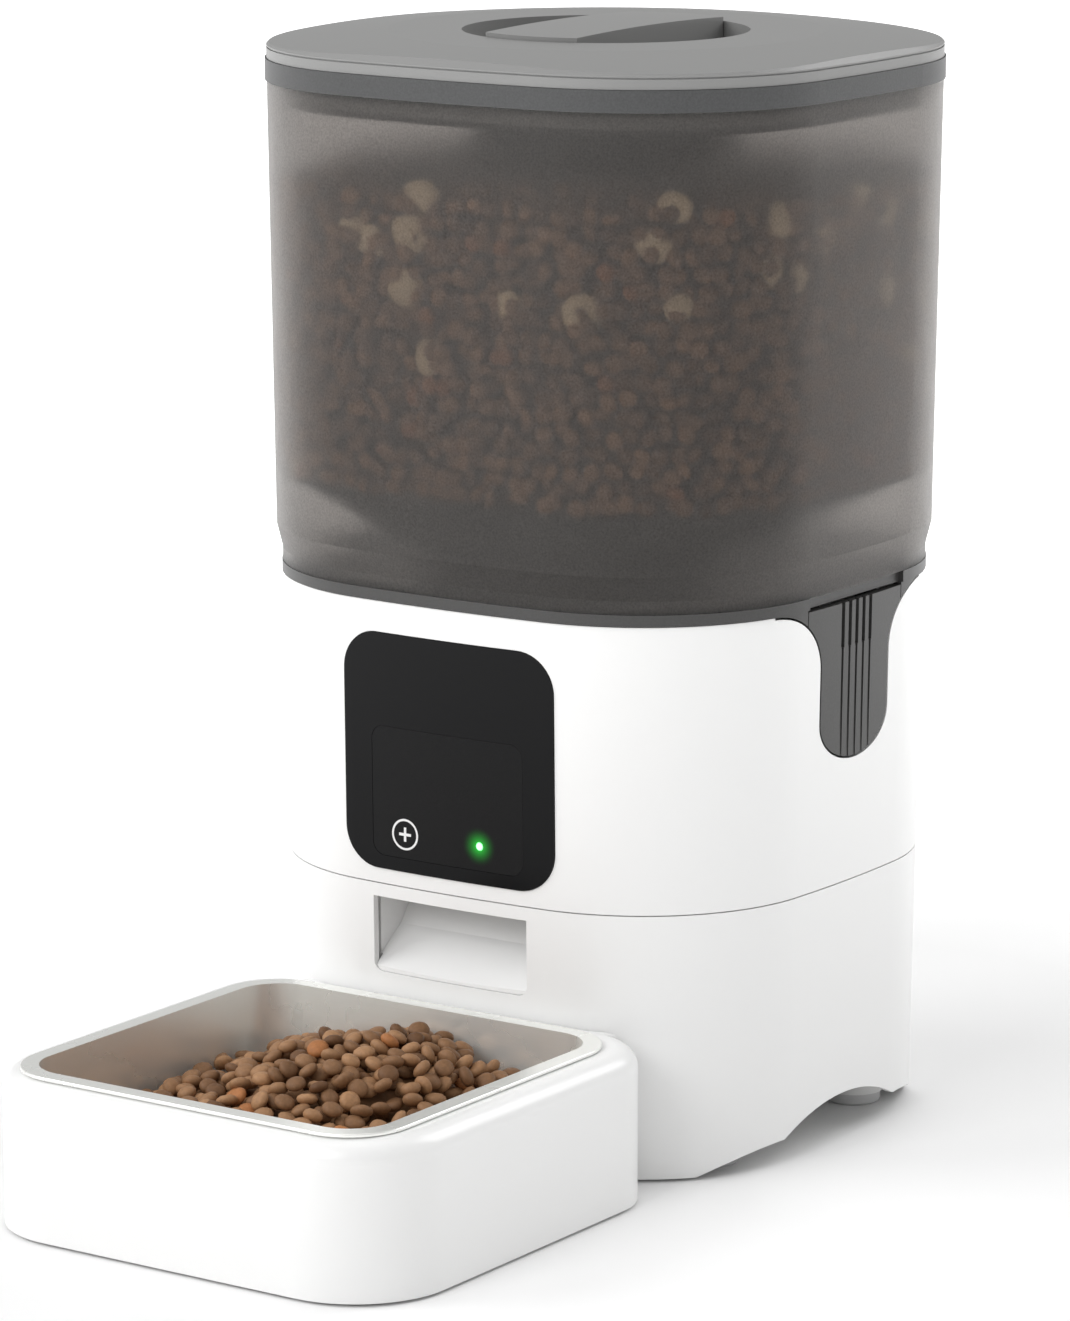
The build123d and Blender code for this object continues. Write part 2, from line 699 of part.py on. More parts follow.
export_step(chute.part, "parts/chute.step")

# ---- Rotor chamber -----------------------------------------------------------------------


def sector(inner_r, outer_r, half_angle):
    """Ring sector centred on the front, about the rotor axis."""
    with BuildSketch() as shape:
        Circle(outer_r)
        Circle(inner_r, mode=Mode.SUBTRACT)
        with BuildLine():
            reach = 2 * outer_r
            Polyline(
                (0, 0),
                (reach * sin(radians(half_angle)), -reach * cos(radians(half_angle))),
                (-reach * sin(radians(half_angle)), -reach * cos(radians(half_angle))),
                close=True,
            )
        make_face(mode=Mode.INTERSECT)
    return shape.sketch


with BuildPart() as rotor_chamber:
    add(round_bar(FLOOR_Z - FLOOR_T, DECK_Z - 0.2, 0, ROTOR_Y, CHAMBER_R + 2))
    add(round_bar(FLOOR_Z, DECK_Z + 1, 0, ROTOR_Y, CHAMBER_R), mode=Mode.SUBTRACT)
    add(round_bar(DECK_Z - DECK_T - 3.1, DECK_Z - DECK_T - 0.1, 0, ROTOR_Y, CHAMBER_R + 8))
    add(round_bar(DECK_Z - DECK_T - 6, DECK_Z + 1, 0, ROTOR_Y, CHAMBER_R), mode=Mode.SUBTRACT)
    with BuildSketch(level(FLOOR_Z - FLOOR_T - 1, 0, ROTOR_Y)):
        add(sector(13, 45, 29))
    extrude(amount=FLOOR_T + 2, mode=Mode.SUBTRACT)
    # bearing boss of the rotor shaft
    add(round_bar(FLOOR_Z - FLOOR_T - 6, FLOOR_Z, 0, ROTOR_Y, 7))
    add(round_bar(FLOOR_Z - 12, FLOOR_Z + 1, 0, ROTOR_Y, SHAFT_R + RUNNING), mode=Mode.SUBTRACT)
    # clear of the front wall behind the panel board
    add(housing_block(FLOOR_Z - 10, DECK_Z, 13.0), mode=Mode.INTERSECT)
rotor_chamber.part.label = "rotor_chamber"
export_step(rotor_chamber.part, "parts/rotor_chamber.step")

# ---- Rotor and its drive -------------------------------------------------------------------

HUB_R = 10.0
VANE_T = 2.5
LAYER_LOW, LAYER_HIGH, GEAR_T = 91.2, 96.2, 4.0

with BuildPart() as rotor:
    add(round_bar(FLOOR_Z + 0.6, VANE_TOP, 0, ROTOR_Y, HUB_R))
    for vane in range(VANE_COUNT):
        with BuildSketch(level(FLOOR_Z + 0.6, 0, ROTOR_Y)):
            with Locations(Rotation(0, 0, vane * 360 / VANE_COUNT)):
                with Locations(((VANE_TIP_R - 1) / 2 + 2, 0)):
                    Rectangle(VANE_TIP_R - 5, VANE_T)
        extrude(amount=VANE_TOP - FLOOR_Z - 0.6)
    # domed cap
    with BuildSketch(level(VANE_TOP, 0, ROTOR_Y)):
        Circle(HUB_R)
    extrude(amount=5, taper=45)
    add(round_bar(FLOOR_Z, FLOOR_Z + 12, 0, ROTOR_Y, SHAFT_R), mode=Mode.SUBTRACT)
rotor.part.label = "rotor"
export_step(rotor.part, "parts/rotor.step")

# Soft wiping tips on the vanes
with BuildPart() as rotor_wipers:
    for vane in range(VANE_COUNT):
        with BuildSketch(level(FLOOR_Z + 0.4, 0, ROTOR_Y)):
            with Locations(Rotation(0, 0, vane * 360 / VANE_COUNT)):
                with Locations((VANE_TIP_R - 0.55, 0)):
                    Rectangle(1.9, 1.6)
        extrude(amount=VANE_TOP - FLOOR_Z - 1.2)
    add(rotor.part, mode=Mode.SUBTRACT)
rotor_wipers.part.label = "rotor_wipers"
export_step(rotor_wipers.part, "parts/rotor_wipers.step")

# Stirrer that keeps the food moving above the rotor
with BuildPart() as stirrer:
    add(round_bar(VANE_TOP + 5, 192, 0, ROTOR_Y, 2.5))
    with BuildSketch(flank(-22, ROTOR_Y, 187)):
        Circle(2.0)
    extrude(amount=44)
    for side in (-1, 1):
        add(round_bar(185, 197, side * 22, ROTOR_Y, 2.2))
stirrer.part.label = "stirrer"
export_step(stirrer.part, "parts/stirrer.step")

with BuildPart() as rotor_shaft:
    add(round_bar(GEARBOX_Z, FLOOR_Z + 12, 0, ROTOR_Y, SHAFT_R))
rotor_shaft.part.label = "rotor_shaft"
export_step(rotor_shaft.part, "parts/rotor_shaft.step")


def spur_gear(teeth, low, high, y, phase, bore):
    """Gear between two heights, with a bore for its shaft."""
    with BuildPart() as gear:
        with BuildSketch(level(low, 0, y)):
            add(gear_outline(teeth, phase))
            Circle(bore, mode=Mode.SUBTRACT)
        extrude(amount=high - low)
    return gear.part


# Teeth meet on the line through the three shafts, along Y. A gear has a tooth towards +Y
# at phase pi/2, and its neighbour a gap towards -Y.
OUTPUT_PHASE = pi / 2
IDLER_LOW_PHASE = -pi / 2 + pi / PINION_TEETH
WHEEL_PHASE = pi / 2
MOTOR_PHASE = -pi / 2 + pi / PINION_TEETH

with BuildPart() as output_gear:
    add(spur_gear(OUTPUT_TEETH, LAYER_HIGH, LAYER_HIGH + GEAR_T, ROTOR_Y, OUTPUT_PHASE, SHAFT_R))
output_gear.part.label = "output_gear"
export_step(output_gear.part, "parts/output_gear.step")

IDLER_PIN_R = 1.5
with BuildPart() as idler_gear:
    add(
        spur_gear(
            WHEEL_TEETH, LAYER_LOW, LAYER_LOW + GEAR_T, IDLER_Y, WHEEL_PHASE, IDLER_PIN_R + RUNNING
        )
    )
    add(
        spur_gear(
            PINION_TEETH,
            LAYER_LOW + GEAR_T,
            LAYER_HIGH + GEAR_T,
            IDLER_Y,
            IDLER_LOW_PHASE,
            IDLER_PIN_R + RUNNING,
        )
    )
idler_gear.part.label = "idler_gear"
export_step(idler_gear.part, "parts/idler_gear.step")

MOTOR_SHAFT_R = 1.0
with BuildPart() as motor_pinion:
    add(spur_gear(PINION_TEETH, LAYER_LOW, LAYER_LOW + GEAR_T, MOTOR_Y, MOTOR_PHASE, 0.6))
    add(round_bar(GEARBOX_Z - 3, LAYER_LOW + GEAR_T, 0, MOTOR_Y, MOTOR_SHAFT_R))
motor_pinion.part.label = "motor_pinion"
export_step(motor_pinion.part, "parts/motor_pinion.step")

with BuildPart() as gearbox_case:
    case_y = (ROTOR_Y - 21.0, MOTOR_Y + 15.0)
    add(box_between((-21, 21), case_y, (GEARBOX_Z, GEARBOX_TOP)))
    fillet(gearbox_case.edges().filter_by(Axis.Z), 6)
    with BuildSketch(level(GEARBOX_Z + 2, 0, (case_y[0] + case_y[1]) / 2)):
        RectangleRounded(39, case_y[1] - case_y[0] - 3, 5)
    extrude(amount=GEARBOX_TOP - GEARBOX_Z - 4, mode=Mode.SUBTRACT)
    # shaft holes, and the fixed pin of the idler
    add(
        round_bar(GEARBOX_Z - 1, GEARBOX_TOP + 1, 0, ROTOR_Y, SHAFT_R + RUNNING), mode=Mode.SUBTRACT
    )
    add(round_bar(GEARBOX_Z - 1, GEARBOX_Z + 3, 0, MOTOR_Y, MOTOR_SHAFT_R + 0.5), mode=Mode.SUBTRACT)
    add(round_bar(GEARBOX_Z + 1, GEARBOX_TOP - 1, 0, IDLER_Y, IDLER_PIN_R))
gearbox_case.part.label = "gearbox_case"
export_step(gearbox_case.part, "parts/gearbox_case.step")

with BuildPart() as motor_can:
    add(round_bar(60, GEARBOX_Z, 0, MOTOR_Y, 12.1))
    chamfer(motor_can.faces().sort_by(Axis.Z)[0].edges(), 1)
    add(
        round_bar(GEARBOX_Z - 4, GEARBOX_Z + 1, 0, MOTOR_Y, MOTOR_SHAFT_R + RUNNING),
        mode=Mode.SUBTRACT,
    )
motor_can.part.label = "motor_can"
export_step(motor_can.part, "parts/motor_can.step")

# ---- Food tank -----------------------------------------------------------------------------

THROAT_R = 36.0
FUNNEL_TOP_Z = 214.0
FUNNEL_LOW_Z = 184.0
THROAT_LOW_Z = 169.5
TANK_WALL = 2.5
HOPPER_WALL = 2.4


def tank_grow(z):
    """Growth of the tank's wall at a height above its waist."""
    return WAIST_GROW + (MOUTH_GROW - WAIST_GROW) * (z - WAIST_Z) / (RIM_Z - WAIST_Z)


def funnel_block(shift):
    """Volume above the sloping tank floor, moved down by a shift."""
    with BuildPart() as solid:
        with BuildSketch(level(FUNNEL_LOW_Z - shift, 0, ROTOR_Y)):
            Circle(THROAT_R)
        with BuildSketch(level(FUNNEL_TOP_Z - shift)):
            add(outline(tank_grow(FUNNEL_TOP_Z - HOPPER_WALL) - TANK_WALL - 0.05))
        loft()
    return solid.part


with BuildPart() as tank:
    add(block(TANK_Z, TANK_GROW, SHOULDER_Z, TANK_GROW))
    add(block(SHOULDER_Z, TANK_GROW, WAIST_Z, WAIST_GROW))
    add(block(WAIST_Z, WAIST_GROW, RIM_Z, MOUTH_GROW))
    add(block(TANK_Z, TANK_GROW - TANK_WALL, WAIST_Z, TANK_GROW - TANK_WALL), mode=Mode.SUBTRACT)
    add(block(WAIST_Z, WAIST_GROW - TANK_WALL, RIM_Z, MOUTH_GROW - TANK_WALL), mode=Mode.SUBTRACT)
tank.part.label = "tank"
export_step(tank.part, "parts/tank.step")

# Sloping floor and throat, welded inside the tank
with BuildPart() as tank_hopper:
    add(funnel_block(HOPPER_WALL))
    add(round_bar(THROAT_LOW_Z, FUNNEL_LOW_Z, 0, ROTOR_Y, THROAT_R + HOPPER_WALL))
    add(funnel_block(0), mode=Mode.SUBTRACT)
    add(round_bar(THROAT_LOW_Z - 1, FUNNEL_LOW_Z + 0.1, 0, ROTOR_Y, THROAT_R), mode=Mode.SUBTRACT)
tank_hopper.part.label = "tank_hopper"
export_step(tank_hopper.part, "parts/tank_hopper.step")

# Shield over the open pocket, so that food can't fall straight through
with BuildPart() as feed_shield:
    with BuildSketch(level(THROAT_LOW_Z, 0, ROTOR_Y)):
        add(sector(12, THROAT_R, 40))
    extrude(amount=2)
feed_shield.part.label = "feed_shield"
export_step(feed_shield.part, "parts/feed_shield.step")

LUG_INNER, LUG_OUTER = 15.4, 19.5
COLLAR_RECESS = 2.0

with BuildPart() as tank_collar:
    add(block(COLLAR_Z, 0.7, TANK_Z, 0.7))
    add(block(COLLAR_Z - 1, -9.0, TANK_Z + 1, -9.0), mode=Mode.SUBTRACT)
    for side in (-1, 1):
        # recess above the latch tongue
        edges = sorted((side * (HALF_X - COLLAR_RECESS), side * (HALF_X + 5)))
        y_edges = (TONGUE_Y - TONGUE_SPLIT - 0.4, TONGUE_Y + TONGUE_SPLIT + 0.4)
        add(box_between(edges, y_edges, (COLLAR_Z - 1, TANK_Z + 1)), mode=Mode.SUBTRACT)
        # wings that fill the ends of the flare beside the tongue
        with BuildPart(mode=Mode.PRIVATE) as wings:
            with BuildSketch(flank(side * (HALF_X - 8), TONGUE_Y)):
                add(tongue_outline(0))
                with Locations((0, COLLAR_Z + 0.5 + 10)):
                    Rectangle(120, 20, mode=Mode.SUBTRACT)
                with Locations((0, TONGUE_TIP_Z)):
                    Rectangle(2 * (TONGUE_SPLIT + 0.4), 120, mode=Mode.SUBTRACT)
            extrude(amount=side * 20)
            add(housing_block(100, DECK_Z + 5, 0), mode=Mode.INTERSECT)
            add(housing_block(95, DECK_Z + 10, TONGUE_T), mode=Mode.SUBTRACT)
        add(wings.part)
    # lugs that carry the latch pins
    for side in (-1, 1):
        for end in (-1, 1):
            x_edges = sorted((side * (PIN_X - 3.5), side * (PIN_X + 2)))
            y_edges = sorted((end * LUG_INNER, end * LUG_OUTER))
            add(box_between(x_edges, y_edges, (PIN_Z - 3, COLLAR_Z + 1)))
            with BuildSketch(facing(end * 25, side * PIN_X, PIN_Z)):
                Circle(PIN_R)
            extrude(amount=end * 15, mode=Mode.SUBTRACT)
tank_collar.part.label = "tank_collar"
export_step(tank_collar.part, "parts/tank_collar.step")

with BuildPart() as latch_pins:
    for side in (-1, 1):
        with BuildSketch(facing(21, side * PIN_X, PIN_Z)):
            Circle(PIN_R)
        extrude(amount=42)
latch_pins.part.label = "latch_pins"
export_step(latch_pins.part, "parts/latch_pins.step")

with BuildPart() as tank_rim:
    add(block(RIM_Z, RIM_GROW, LID_Z, RIM_GROW))
    add(block(RIM_Z - 1.7, MOUTH_GROW - TANK_WALL - 0.1, LID_Z, MOUTH_GROW - TANK_WALL - 0.1))
    add(block(RIM_Z - 3, -1.5, LID_Z + 1, -1.5), mode=Mode.SUBTRACT)
tank_rim.part.label = "tank_rim"
export_step(tank_rim.part, "parts/tank_rim.step")

# ---- Latch tongues ---------------------------------------------------------------------------

GROOVE_COUNT, GROOVE_PITCH, GROOVE_W, GROOVE_DEPTH = 5, 4.1, 1.2, 0.7
GROOVE_TOP_W, GROOVE_TOP_DEPTH, GROOVE_TOP_Z = 1.9, 1.3, 163.0
FLARE_LEAN = 0.35        # the face leans in by this much at the middle of the tongue


def latch(side):
    """Tongue on one side of the tank, ribbed for grip, with a knuckle on its pin."""
    with BuildPart() as tongue:
        with BuildSketch(flank(side * (HALF_X - 8), TONGUE_Y)):
            add(tongue_outline(0))
            with Locations((0, TONGUE_TIP_Z)):
                Rectangle(2 * TONGUE_SPLIT, 2 * (TONGUE_TOP_Z - TONGUE_TIP_Z), mode=Mode.INTERSECT)
        extrude(amount=side * 20)
        add(housing_block(100, DECK_Z, 0), mode=Mode.INTERSECT)
        add(housing_block(95, DECK_Z + 5, TONGUE_T), mode=Mode.SUBTRACT)
        # grip grooves from end to end, wider and deeper near the top
        for groove in range(GROOVE_COUNT):
            y = TONGUE_Y + (groove - (GROOVE_COUNT - 1) / 2) * GROOVE_PITCH
            for width, depth, low in (
                (GROOVE_W, GROOVE_DEPTH, TONGUE_TIP_Z - 2),
                (GROOVE_TOP_W, GROOVE_TOP_DEPTH, GROOVE_TOP_Z),
            ):
                add(
                    box_between(
                        sorted((side * (HALF_X - FLARE_LEAN - depth), side * (HALF_X + 5))),
                        (y - width / 2, y + width / 2),
                        (low, TONGUE_TOP_Z + 1),
                    ),
                    mode=Mode.SUBTRACT,
                )
        # knuckle, joined to the tongue by a short web
        with BuildSketch(facing(LUG_INNER - 0.4, side * PIN_X, PIN_Z)):
            Circle(3.0)
            with Locations((side * 1.8, 0)):
                Rectangle(3.6, 4.0)
        extrude(amount=2 * (LUG_INNER - 0.4))
        with BuildSketch(facing(25, side * PIN_X, PIN_Z)):
            Circle(PIN_R + RUNNING)
        extrude(amount=50, mode=Mode.SUBTRACT)
    return tongue.part


latch_left = latch(-1)
latch_left.label = "latch_left"
export_step(latch_left, "parts/latch_left.step")

latch_right = latch(1)
latch_right.label = "latch_right"
export_step(latch_right, "parts/latch_right.step")

# ---- Lid -------------------------------------------------------------------------------------

PLUG_GROW = -2.2
PLUG_LOW = 331.0
LINER_LOW = 329.0
BOLT_LOW, BOLT_T, BOLT_HALF = 332.0, 2.4, 5.0
BOLT_TIP = 91.0
PIN_START = 8.5          # radius of each bolt's pin with the knob at rest
CAM_LOW, CAM_HIGH = 334.6, 336.2
KNOB_SHAFT_R = 6.0


def dome():
    """Ball whose top cap is the slightly domed top of the lid."""
    with BuildPart() as ball:
        with Locations(level(TOP_Z - DOME_R).location):
            Sphere(DOME_R)
        with Locations(level(TOP_Z - 50).location):
            Box(400, 400, 200, mode=Mode.INTERSECT)
    return ball.part


DOME = dome()

with BuildPart() as lid_cover:
    add(block(LID_Z + 0.1, LID_GROW, BEVEL_Z, LID_GROW))
    add(block(BEVEL_Z, LID_GROW, BEVEL_Z + 4, LID_GROW - 4))
    add(block(LID_Z, LID_GROW - 2.5, BEVEL_Z - 1, LID_GROW - 2.5), mode=Mode.SUBTRACT)
    add(DOME, mode=Mode.INTERSECT)
    # fine groove under the bevel
    add(block(BEVEL_Z - 0.9, LID_GROW + 1, BEVEL_Z - 0.4, LID_GROW + 1), mode=Mode.SUBTRACT)
    add(block(BEVEL_Z - 1, LID_GROW - 0.5, BEVEL_Z - 0.3, LID_GROW - 0.5))
    # skirt that plugs into the rim
    add(block(PLUG_LOW, PLUG_GROW, BEVEL_Z - 0.5, PLUG_GROW))
    add(block(PLUG_LOW - 1, PLUG_GROW - 2, BEVEL_Z - 1, PLUG_GROW - 2), mode=Mode.SUBTRACT)
    # round dish for the knob
    add(round_bar(RECESS_FLOOR - 2, BEVEL_Z, 0, 0, RECESS_R + 2))
    add(round_bar(RECESS_FLOOR, TOP_Z + 5, 0, 0, RECESS_R), mode=Mode.SUBTRACT)
    add(round_bar(PLUG_LOW, TOP_Z, 0, 0, KNOB_SHAFT_R + RUNNING), mode=Mode.SUBTRACT)
    # windows in the skirt for the two lock bolts
    add(
        box_between(
            (-HALF_X, HALF_X),
            (-BOLT_HALF - 0.4, BOLT_HALF + 0.4),
            (BOLT_LOW - 0.5, BOLT_LOW + BOLT_T + 0.5),
        ),
        mode=Mode.SUBTRACT,
    )
lid_cover.part.label = "lid_cover"
export_step(lid_cover.part, "parts/lid_cover.step")

with BuildPart() as lid_seal:
    add(block(LID_Z - 5, PLUG_GROW + 0.4, LID_Z - 2, PLUG_GROW + 0.4))
    add(block(LID_Z - 6, PLUG_GROW, LID_Z - 1, PLUG_GROW), mode=Mode.SUBTRACT)
lid_seal.part.label = "lid_seal"
export_step(lid_seal.part, "parts/lid_seal.step")

with BuildPart() as lid_liner:
    add(block(LINER_LOW, PLUG_GROW - 0.2, PLUG_LOW - 0.05, PLUG_GROW - 0.2))
    for side in (-1, 1):
        for end in (-1, 1):
            x_edges = sorted((side * 20, side * 86))
            y_edges = sorted((end * (BOLT_HALF + 0.3), end * (BOLT_HALF + 1.8)))
            add(box_between(x_edges, y_edges, (PLUG_LOW - 0.1, BOLT_LOW + BOLT_T)))
lid_liner.part.label = "lid_liner"
export_step(lid_liner.part, "parts/lid_liner.step")


def spiral_point(turn, side_offset):
    """Point on the cam slot's edge, at a knob angle given in radians."""
    radius = PIN_START + BOLT_TRAVEL * turn / (pi / 2) + side_offset
    return (radius * cos(-turn), radius * sin(-turn))


def spiral_slot(half_width):
    """Slot that moves a bolt's pin outwards evenly as the knob turns a quarter turn."""
    turns = [step * pi / 16 for step in range(9)]
    with BuildSketch() as slot:
        with BuildLine():
            outer = Spline(*[spiral_point(turn, half_width) for turn in turns])
            inner = Spline(*[spiral_point(turn, -half_width) for turn in turns])
            Line(outer @ 0, inner @ 0)
            Line(outer @ 1, inner @ 1)
        make_face()
        with Locations(spiral_point(0, 0), spiral_point(pi / 2, 0)):
            Circle(half_width)
    return slot.sketch


with BuildPart() as lid_knob:
    add(round_bar(RECESS_FLOOR + 0.4, RECESS_FLOOR + 2.4, 0, 0, RECESS_R - 0.5))
    # grip bar with round ends, flush with the top of the lid
    with BuildSketch(level(RECESS_FLOOR + 1)):
        Circle(RECESS_R - 0.5)
        Rectangle(BAR_WIDTH, 2 * RECESS_R, mode=Mode.INTERSECT)
    extrude(amount=20)
    add(DOME, mode=Mode.INTERSECT)
    add(round_bar(CAM_HIGH, RECESS_FLOOR + 1, 0, 0, KNOB_SHAFT_R))
lid_knob.part.label = "lid_knob"
export_step(lid_knob.part, "parts/lid_knob.step")

with BuildPart() as knob_cam:
    with BuildSketch(level(CAM_LOW)):
        Circle(16.5)
        add(spiral_slot(1.75), mode=Mode.SUBTRACT)
        add(spiral_slot(1.75), rotation=180, mode=Mode.SUBTRACT)
    extrude(amount=CAM_HIGH - CAM_LOW)
knob_cam.part.label = "knob_cam"
export_step(knob_cam.part, "parts/knob_cam.step")


def lock_bolt(side):
    """Flat bolt that slides out under the tank's rim, with its cam pin."""
    with BuildPart() as bolt:
        edges = sorted((side * 6.2, side * BOLT_TIP))
        add(box_between(edges, (-BOLT_HALF, BOLT_HALF), (BOLT_LOW, BOLT_LOW + BOLT_T)))
        add(round_bar(BOLT_LOW + 1, CAM_HIGH - 0.1, side * PIN_START, 0, 1.5))
    return bolt.part


bolt_left = lock_bolt(-1)
bolt_left.label = "bolt_left"
export_step(bolt_left, "parts/bolt_left.step")

bolt_right = lock_bolt(1)
bolt_right.label = "bolt_right"
export_step(bolt_right, "parts/bolt_right.step")

# Desiccant box under the lid
DRY_HALF, DRY_LOW, DRY_T = 32.0, 317.0, 1.6
DRY_HINGE_Y, DRY_HINGE_R = DRY_HALF + 2.5, 1.0

with BuildPart() as desiccant_box:
    add(box_between((-DRY_HALF, DRY_HALF), (-DRY_HALF, DRY_HALF), (DRY_LOW, LINER_LOW - 0.05)))
    fillet(desiccant_box.edges().filter_by(Axis.Z), 4)
    inner = DRY_HALF - DRY_T
    add(box_between((-inner, inner), (-inner, inner), (DRY_LOW - 1, LINER_LOW - 2)), mode=Mode.SUBTRACT)
    for side in (-1, 1):
        edges = sorted((side * 16.3, side * 19))
        add(box_between(edges, (DRY_HALF - 1.5, DRY_HINGE_Y + 2), (DRY_LOW - 1.9, DRY_LOW + 4)))
        with BuildSketch(flank(side * 15, DRY_HINGE_Y, DRY_LOW)):
            Circle(DRY_HINGE_R)
        extrude(amount=side * 6, mode=Mode.SUBTRACT)
desiccant_box.part.label = "desiccant_box"
export_step(desiccant_box.part, "parts/desiccant_box.step")

with BuildPart() as desiccant_cover:
    add(box_between((-DRY_HALF, DRY_HALF), (-DRY_HALF, DRY_HALF - 2.2), (DRY_LOW - 1.9, DRY_LOW - 0.3)))
    with BuildSketch(flank(-16, DRY_HINGE_Y, DRY_LOW)):
        Circle(1.9)
    extrude(amount=32)
    add(box_between((-16, 16), (DRY_HALF - 2.5, DRY_HINGE_Y), (DRY_LOW - 1.9, DRY_LOW - 0.3)))
    with BuildSketch(level(DRY_LOW - 3)):
        with GridLocations(10, 7, 5, 6):
            SlotOverall(8, 2.2)
    extrude(amount=4, mode=Mode.SUBTRACT)
    with BuildSketch(flank(-20, DRY_HINGE_Y, DRY_LOW)):
        Circle(DRY_HINGE_R + RUNNING)
    extrude(amount=40, mode=Mode.SUBTRACT)
desiccant_cover.part.label = "desiccant_cover"
export_step(desiccant_cover.part, "parts/desiccant_cover.step")

with BuildPart() as desiccant_pin:
    with BuildSketch(flank(-18.8, DRY_HINGE_Y, DRY_LOW)):
        Circle(DRY_HINGE_R)
    extrude(amount=37.6)
desiccant_pin.part.label = "desiccant_pin"
export_step(desiccant_pin.part, "parts/desiccant_pin.step")

with BuildPart() as desiccant_bag:
    add(box_between((-27, 27), (-27, 27), (DRY_LOW + 0.5, LINER_LOW - 2.6)))
    fillet(desiccant_bag.edges(), 2.5)
desiccant_bag.part.label = "desiccant_bag"
export_step(desiccant_bag.part, "parts/desiccant_bag.step")

# ---- Bowl unit ---------------------------------------------------------------------------------

BASE_GAP = 1.0           # between the bowl base and the housing
BASE_WALL = 2.6
BASE_EDGE_R = 7.0        # roll of the base's upper edge
STEEL_CENTRE = -(STEEL_FRONT + STEEL_BACK) / 2
STEEL_HALF_Y = (STEEL_FRONT - STEEL_BACK) / 2
STEEL_CORNER_R = 20.0
STEEL_RIM = 5.0          # width of the flat rim


def base_outline(inset):
    """Bowl base in plan, rounder in front than behind."""
    with BuildSketch() as shape:
        with Locations((0, -(BOWL_FRONT + BOWL_BACK) / 2)):
            Rectangle(2 * BOWL_HALF_X, BOWL_FRONT - BOWL_BACK)
        fillet(shape.vertices().group_by(Axis.Y)[0], BOWL_CORNER_R)
        fillet(shape.vertices().group_by(Axis.Y)[-1], BOWL_REAR_R)
        if inset:
            offset(amount=-inset)
    return shape.sketch


def steel_outline(inset):
    """Steel bowl in plan."""
    with BuildSketch() as shape:
        RectangleRounded(
            2 * (STEEL_HALF_X - inset), 2 * (STEEL_HALF_Y - inset), max(STEEL_CORNER_R - inset, 8)
        )
    return shape.sketch


with BuildPart() as bowl_base:
    with BuildSketch(level(SKIRT_Z)):
        add(base_outline(0))
    extrude(amount=BOWL_TOP - SKIRT_Z)
    fillet(bowl_base.faces().sort_by(Axis.Z)[-1].edges(), BASE_EDGE_R)
    with BuildSketch(level(SKIRT_Z)):
        add(base_outline(BASE_WALL))
    extrude(amount=BOWL_TOP - SKIRT_Z - BASE_WALL, mode=Mode.SUBTRACT)
    # rear wall that hugs the housing
    with BuildPart(mode=Mode.PRIVATE) as rear_wall:
        with BuildSketch(level(SKIRT_Z)):
            add(base_outline(1))
        extrude(amount=BOWL_TOP - SKIRT_Z - 1)
        add(housing_block(-10, 80, -BASE_GAP - BASE_WALL), mode=Mode.INTERSECT)
    add(rear_wall.part)
    add(housing_block(-10, 80, -BASE_GAP), mode=Mode.SUBTRACT)
    # opening that the steel bowl hangs in
    with BuildSketch(level(BOWL_TOP - 10, 0, STEEL_CENTRE)):
        add(steel_outline(STEEL_RIM - 1.2))
    extrude(amount=20, mode=Mode.SUBTRACT)
    # hooks that enter the housing's slots
    for side in (-1, 1):
        edges = sorted((side * (SLOT_X - HOOK_HALF), side * (SLOT_X + HOOK_HALF)))
        add(box_between(edges, (-HALF_Y + 0.5, -HALF_Y + 9), (HOOK_LOW, HOOK_HIGH)))
bowl_base.part.label = "bowl_base"
export_step(bowl_base.part, "parts/bowl_base.step")

with BuildPart() as bowl_feet:
    for x in (-60, 60):
        for y in (-208, -118):
            with BuildSketch(level(0, x, y)):
                Circle(6)
            extrude(amount=3)
            with BuildSketch(level(3, x, y)):
                Circle(2)
            extrude(amount=4)
bowl_feet.part.label = "bowl_feet"
export_step(bowl_feet.part, "parts/bowl_feet.step")

with BuildPart() as steel_bowl:
    # pressed well, drafted inwards, with a round bottom edge
    with BuildSketch(level(BOWL_TOP + 0.3, 0, STEEL_CENTRE)):
        add(steel_outline(STEEL_RIM))
    extrude(amount=-STEEL_DEPTH, taper=5)
    fillet(steel_bowl.faces().sort_by(Axis.Z)[0].edges(), 9)
    with BuildSketch(level(BOWL_TOP + 0.3, 0, STEEL_CENTRE)):
        add(steel_outline(0))
    extrude(amount=1.0)
    fillet(steel_bowl.faces().sort_by(Axis.Z)[-1].edges(), 0.45)
    with BuildPart(mode=Mode.PRIVATE) as well:
        with BuildSketch(level(BOWL_TOP + 1.3, 0, STEEL_CENTRE)):
            add(steel_outline(STEEL_RIM + STEEL_T))
        extrude(amount=-STEEL_DEPTH - 1 + STEEL_T, taper=5)
        fillet(well.faces().sort_by(Axis.Z)[0].edges(), 8.3)
    add(well.part, mode=Mode.SUBTRACT)
steel_bowl.part.label = "steel_bowl"
export_step(steel_bowl.part, "parts/steel_bowl.step")
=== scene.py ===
"""Automatic pet feeder: the looks of every piece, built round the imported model."""

import random
from math import cos, exp, hypot, pi, radians, sin, sqrt, tau

import bpy
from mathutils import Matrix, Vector
from mathutils.bvhtree import BVHTree


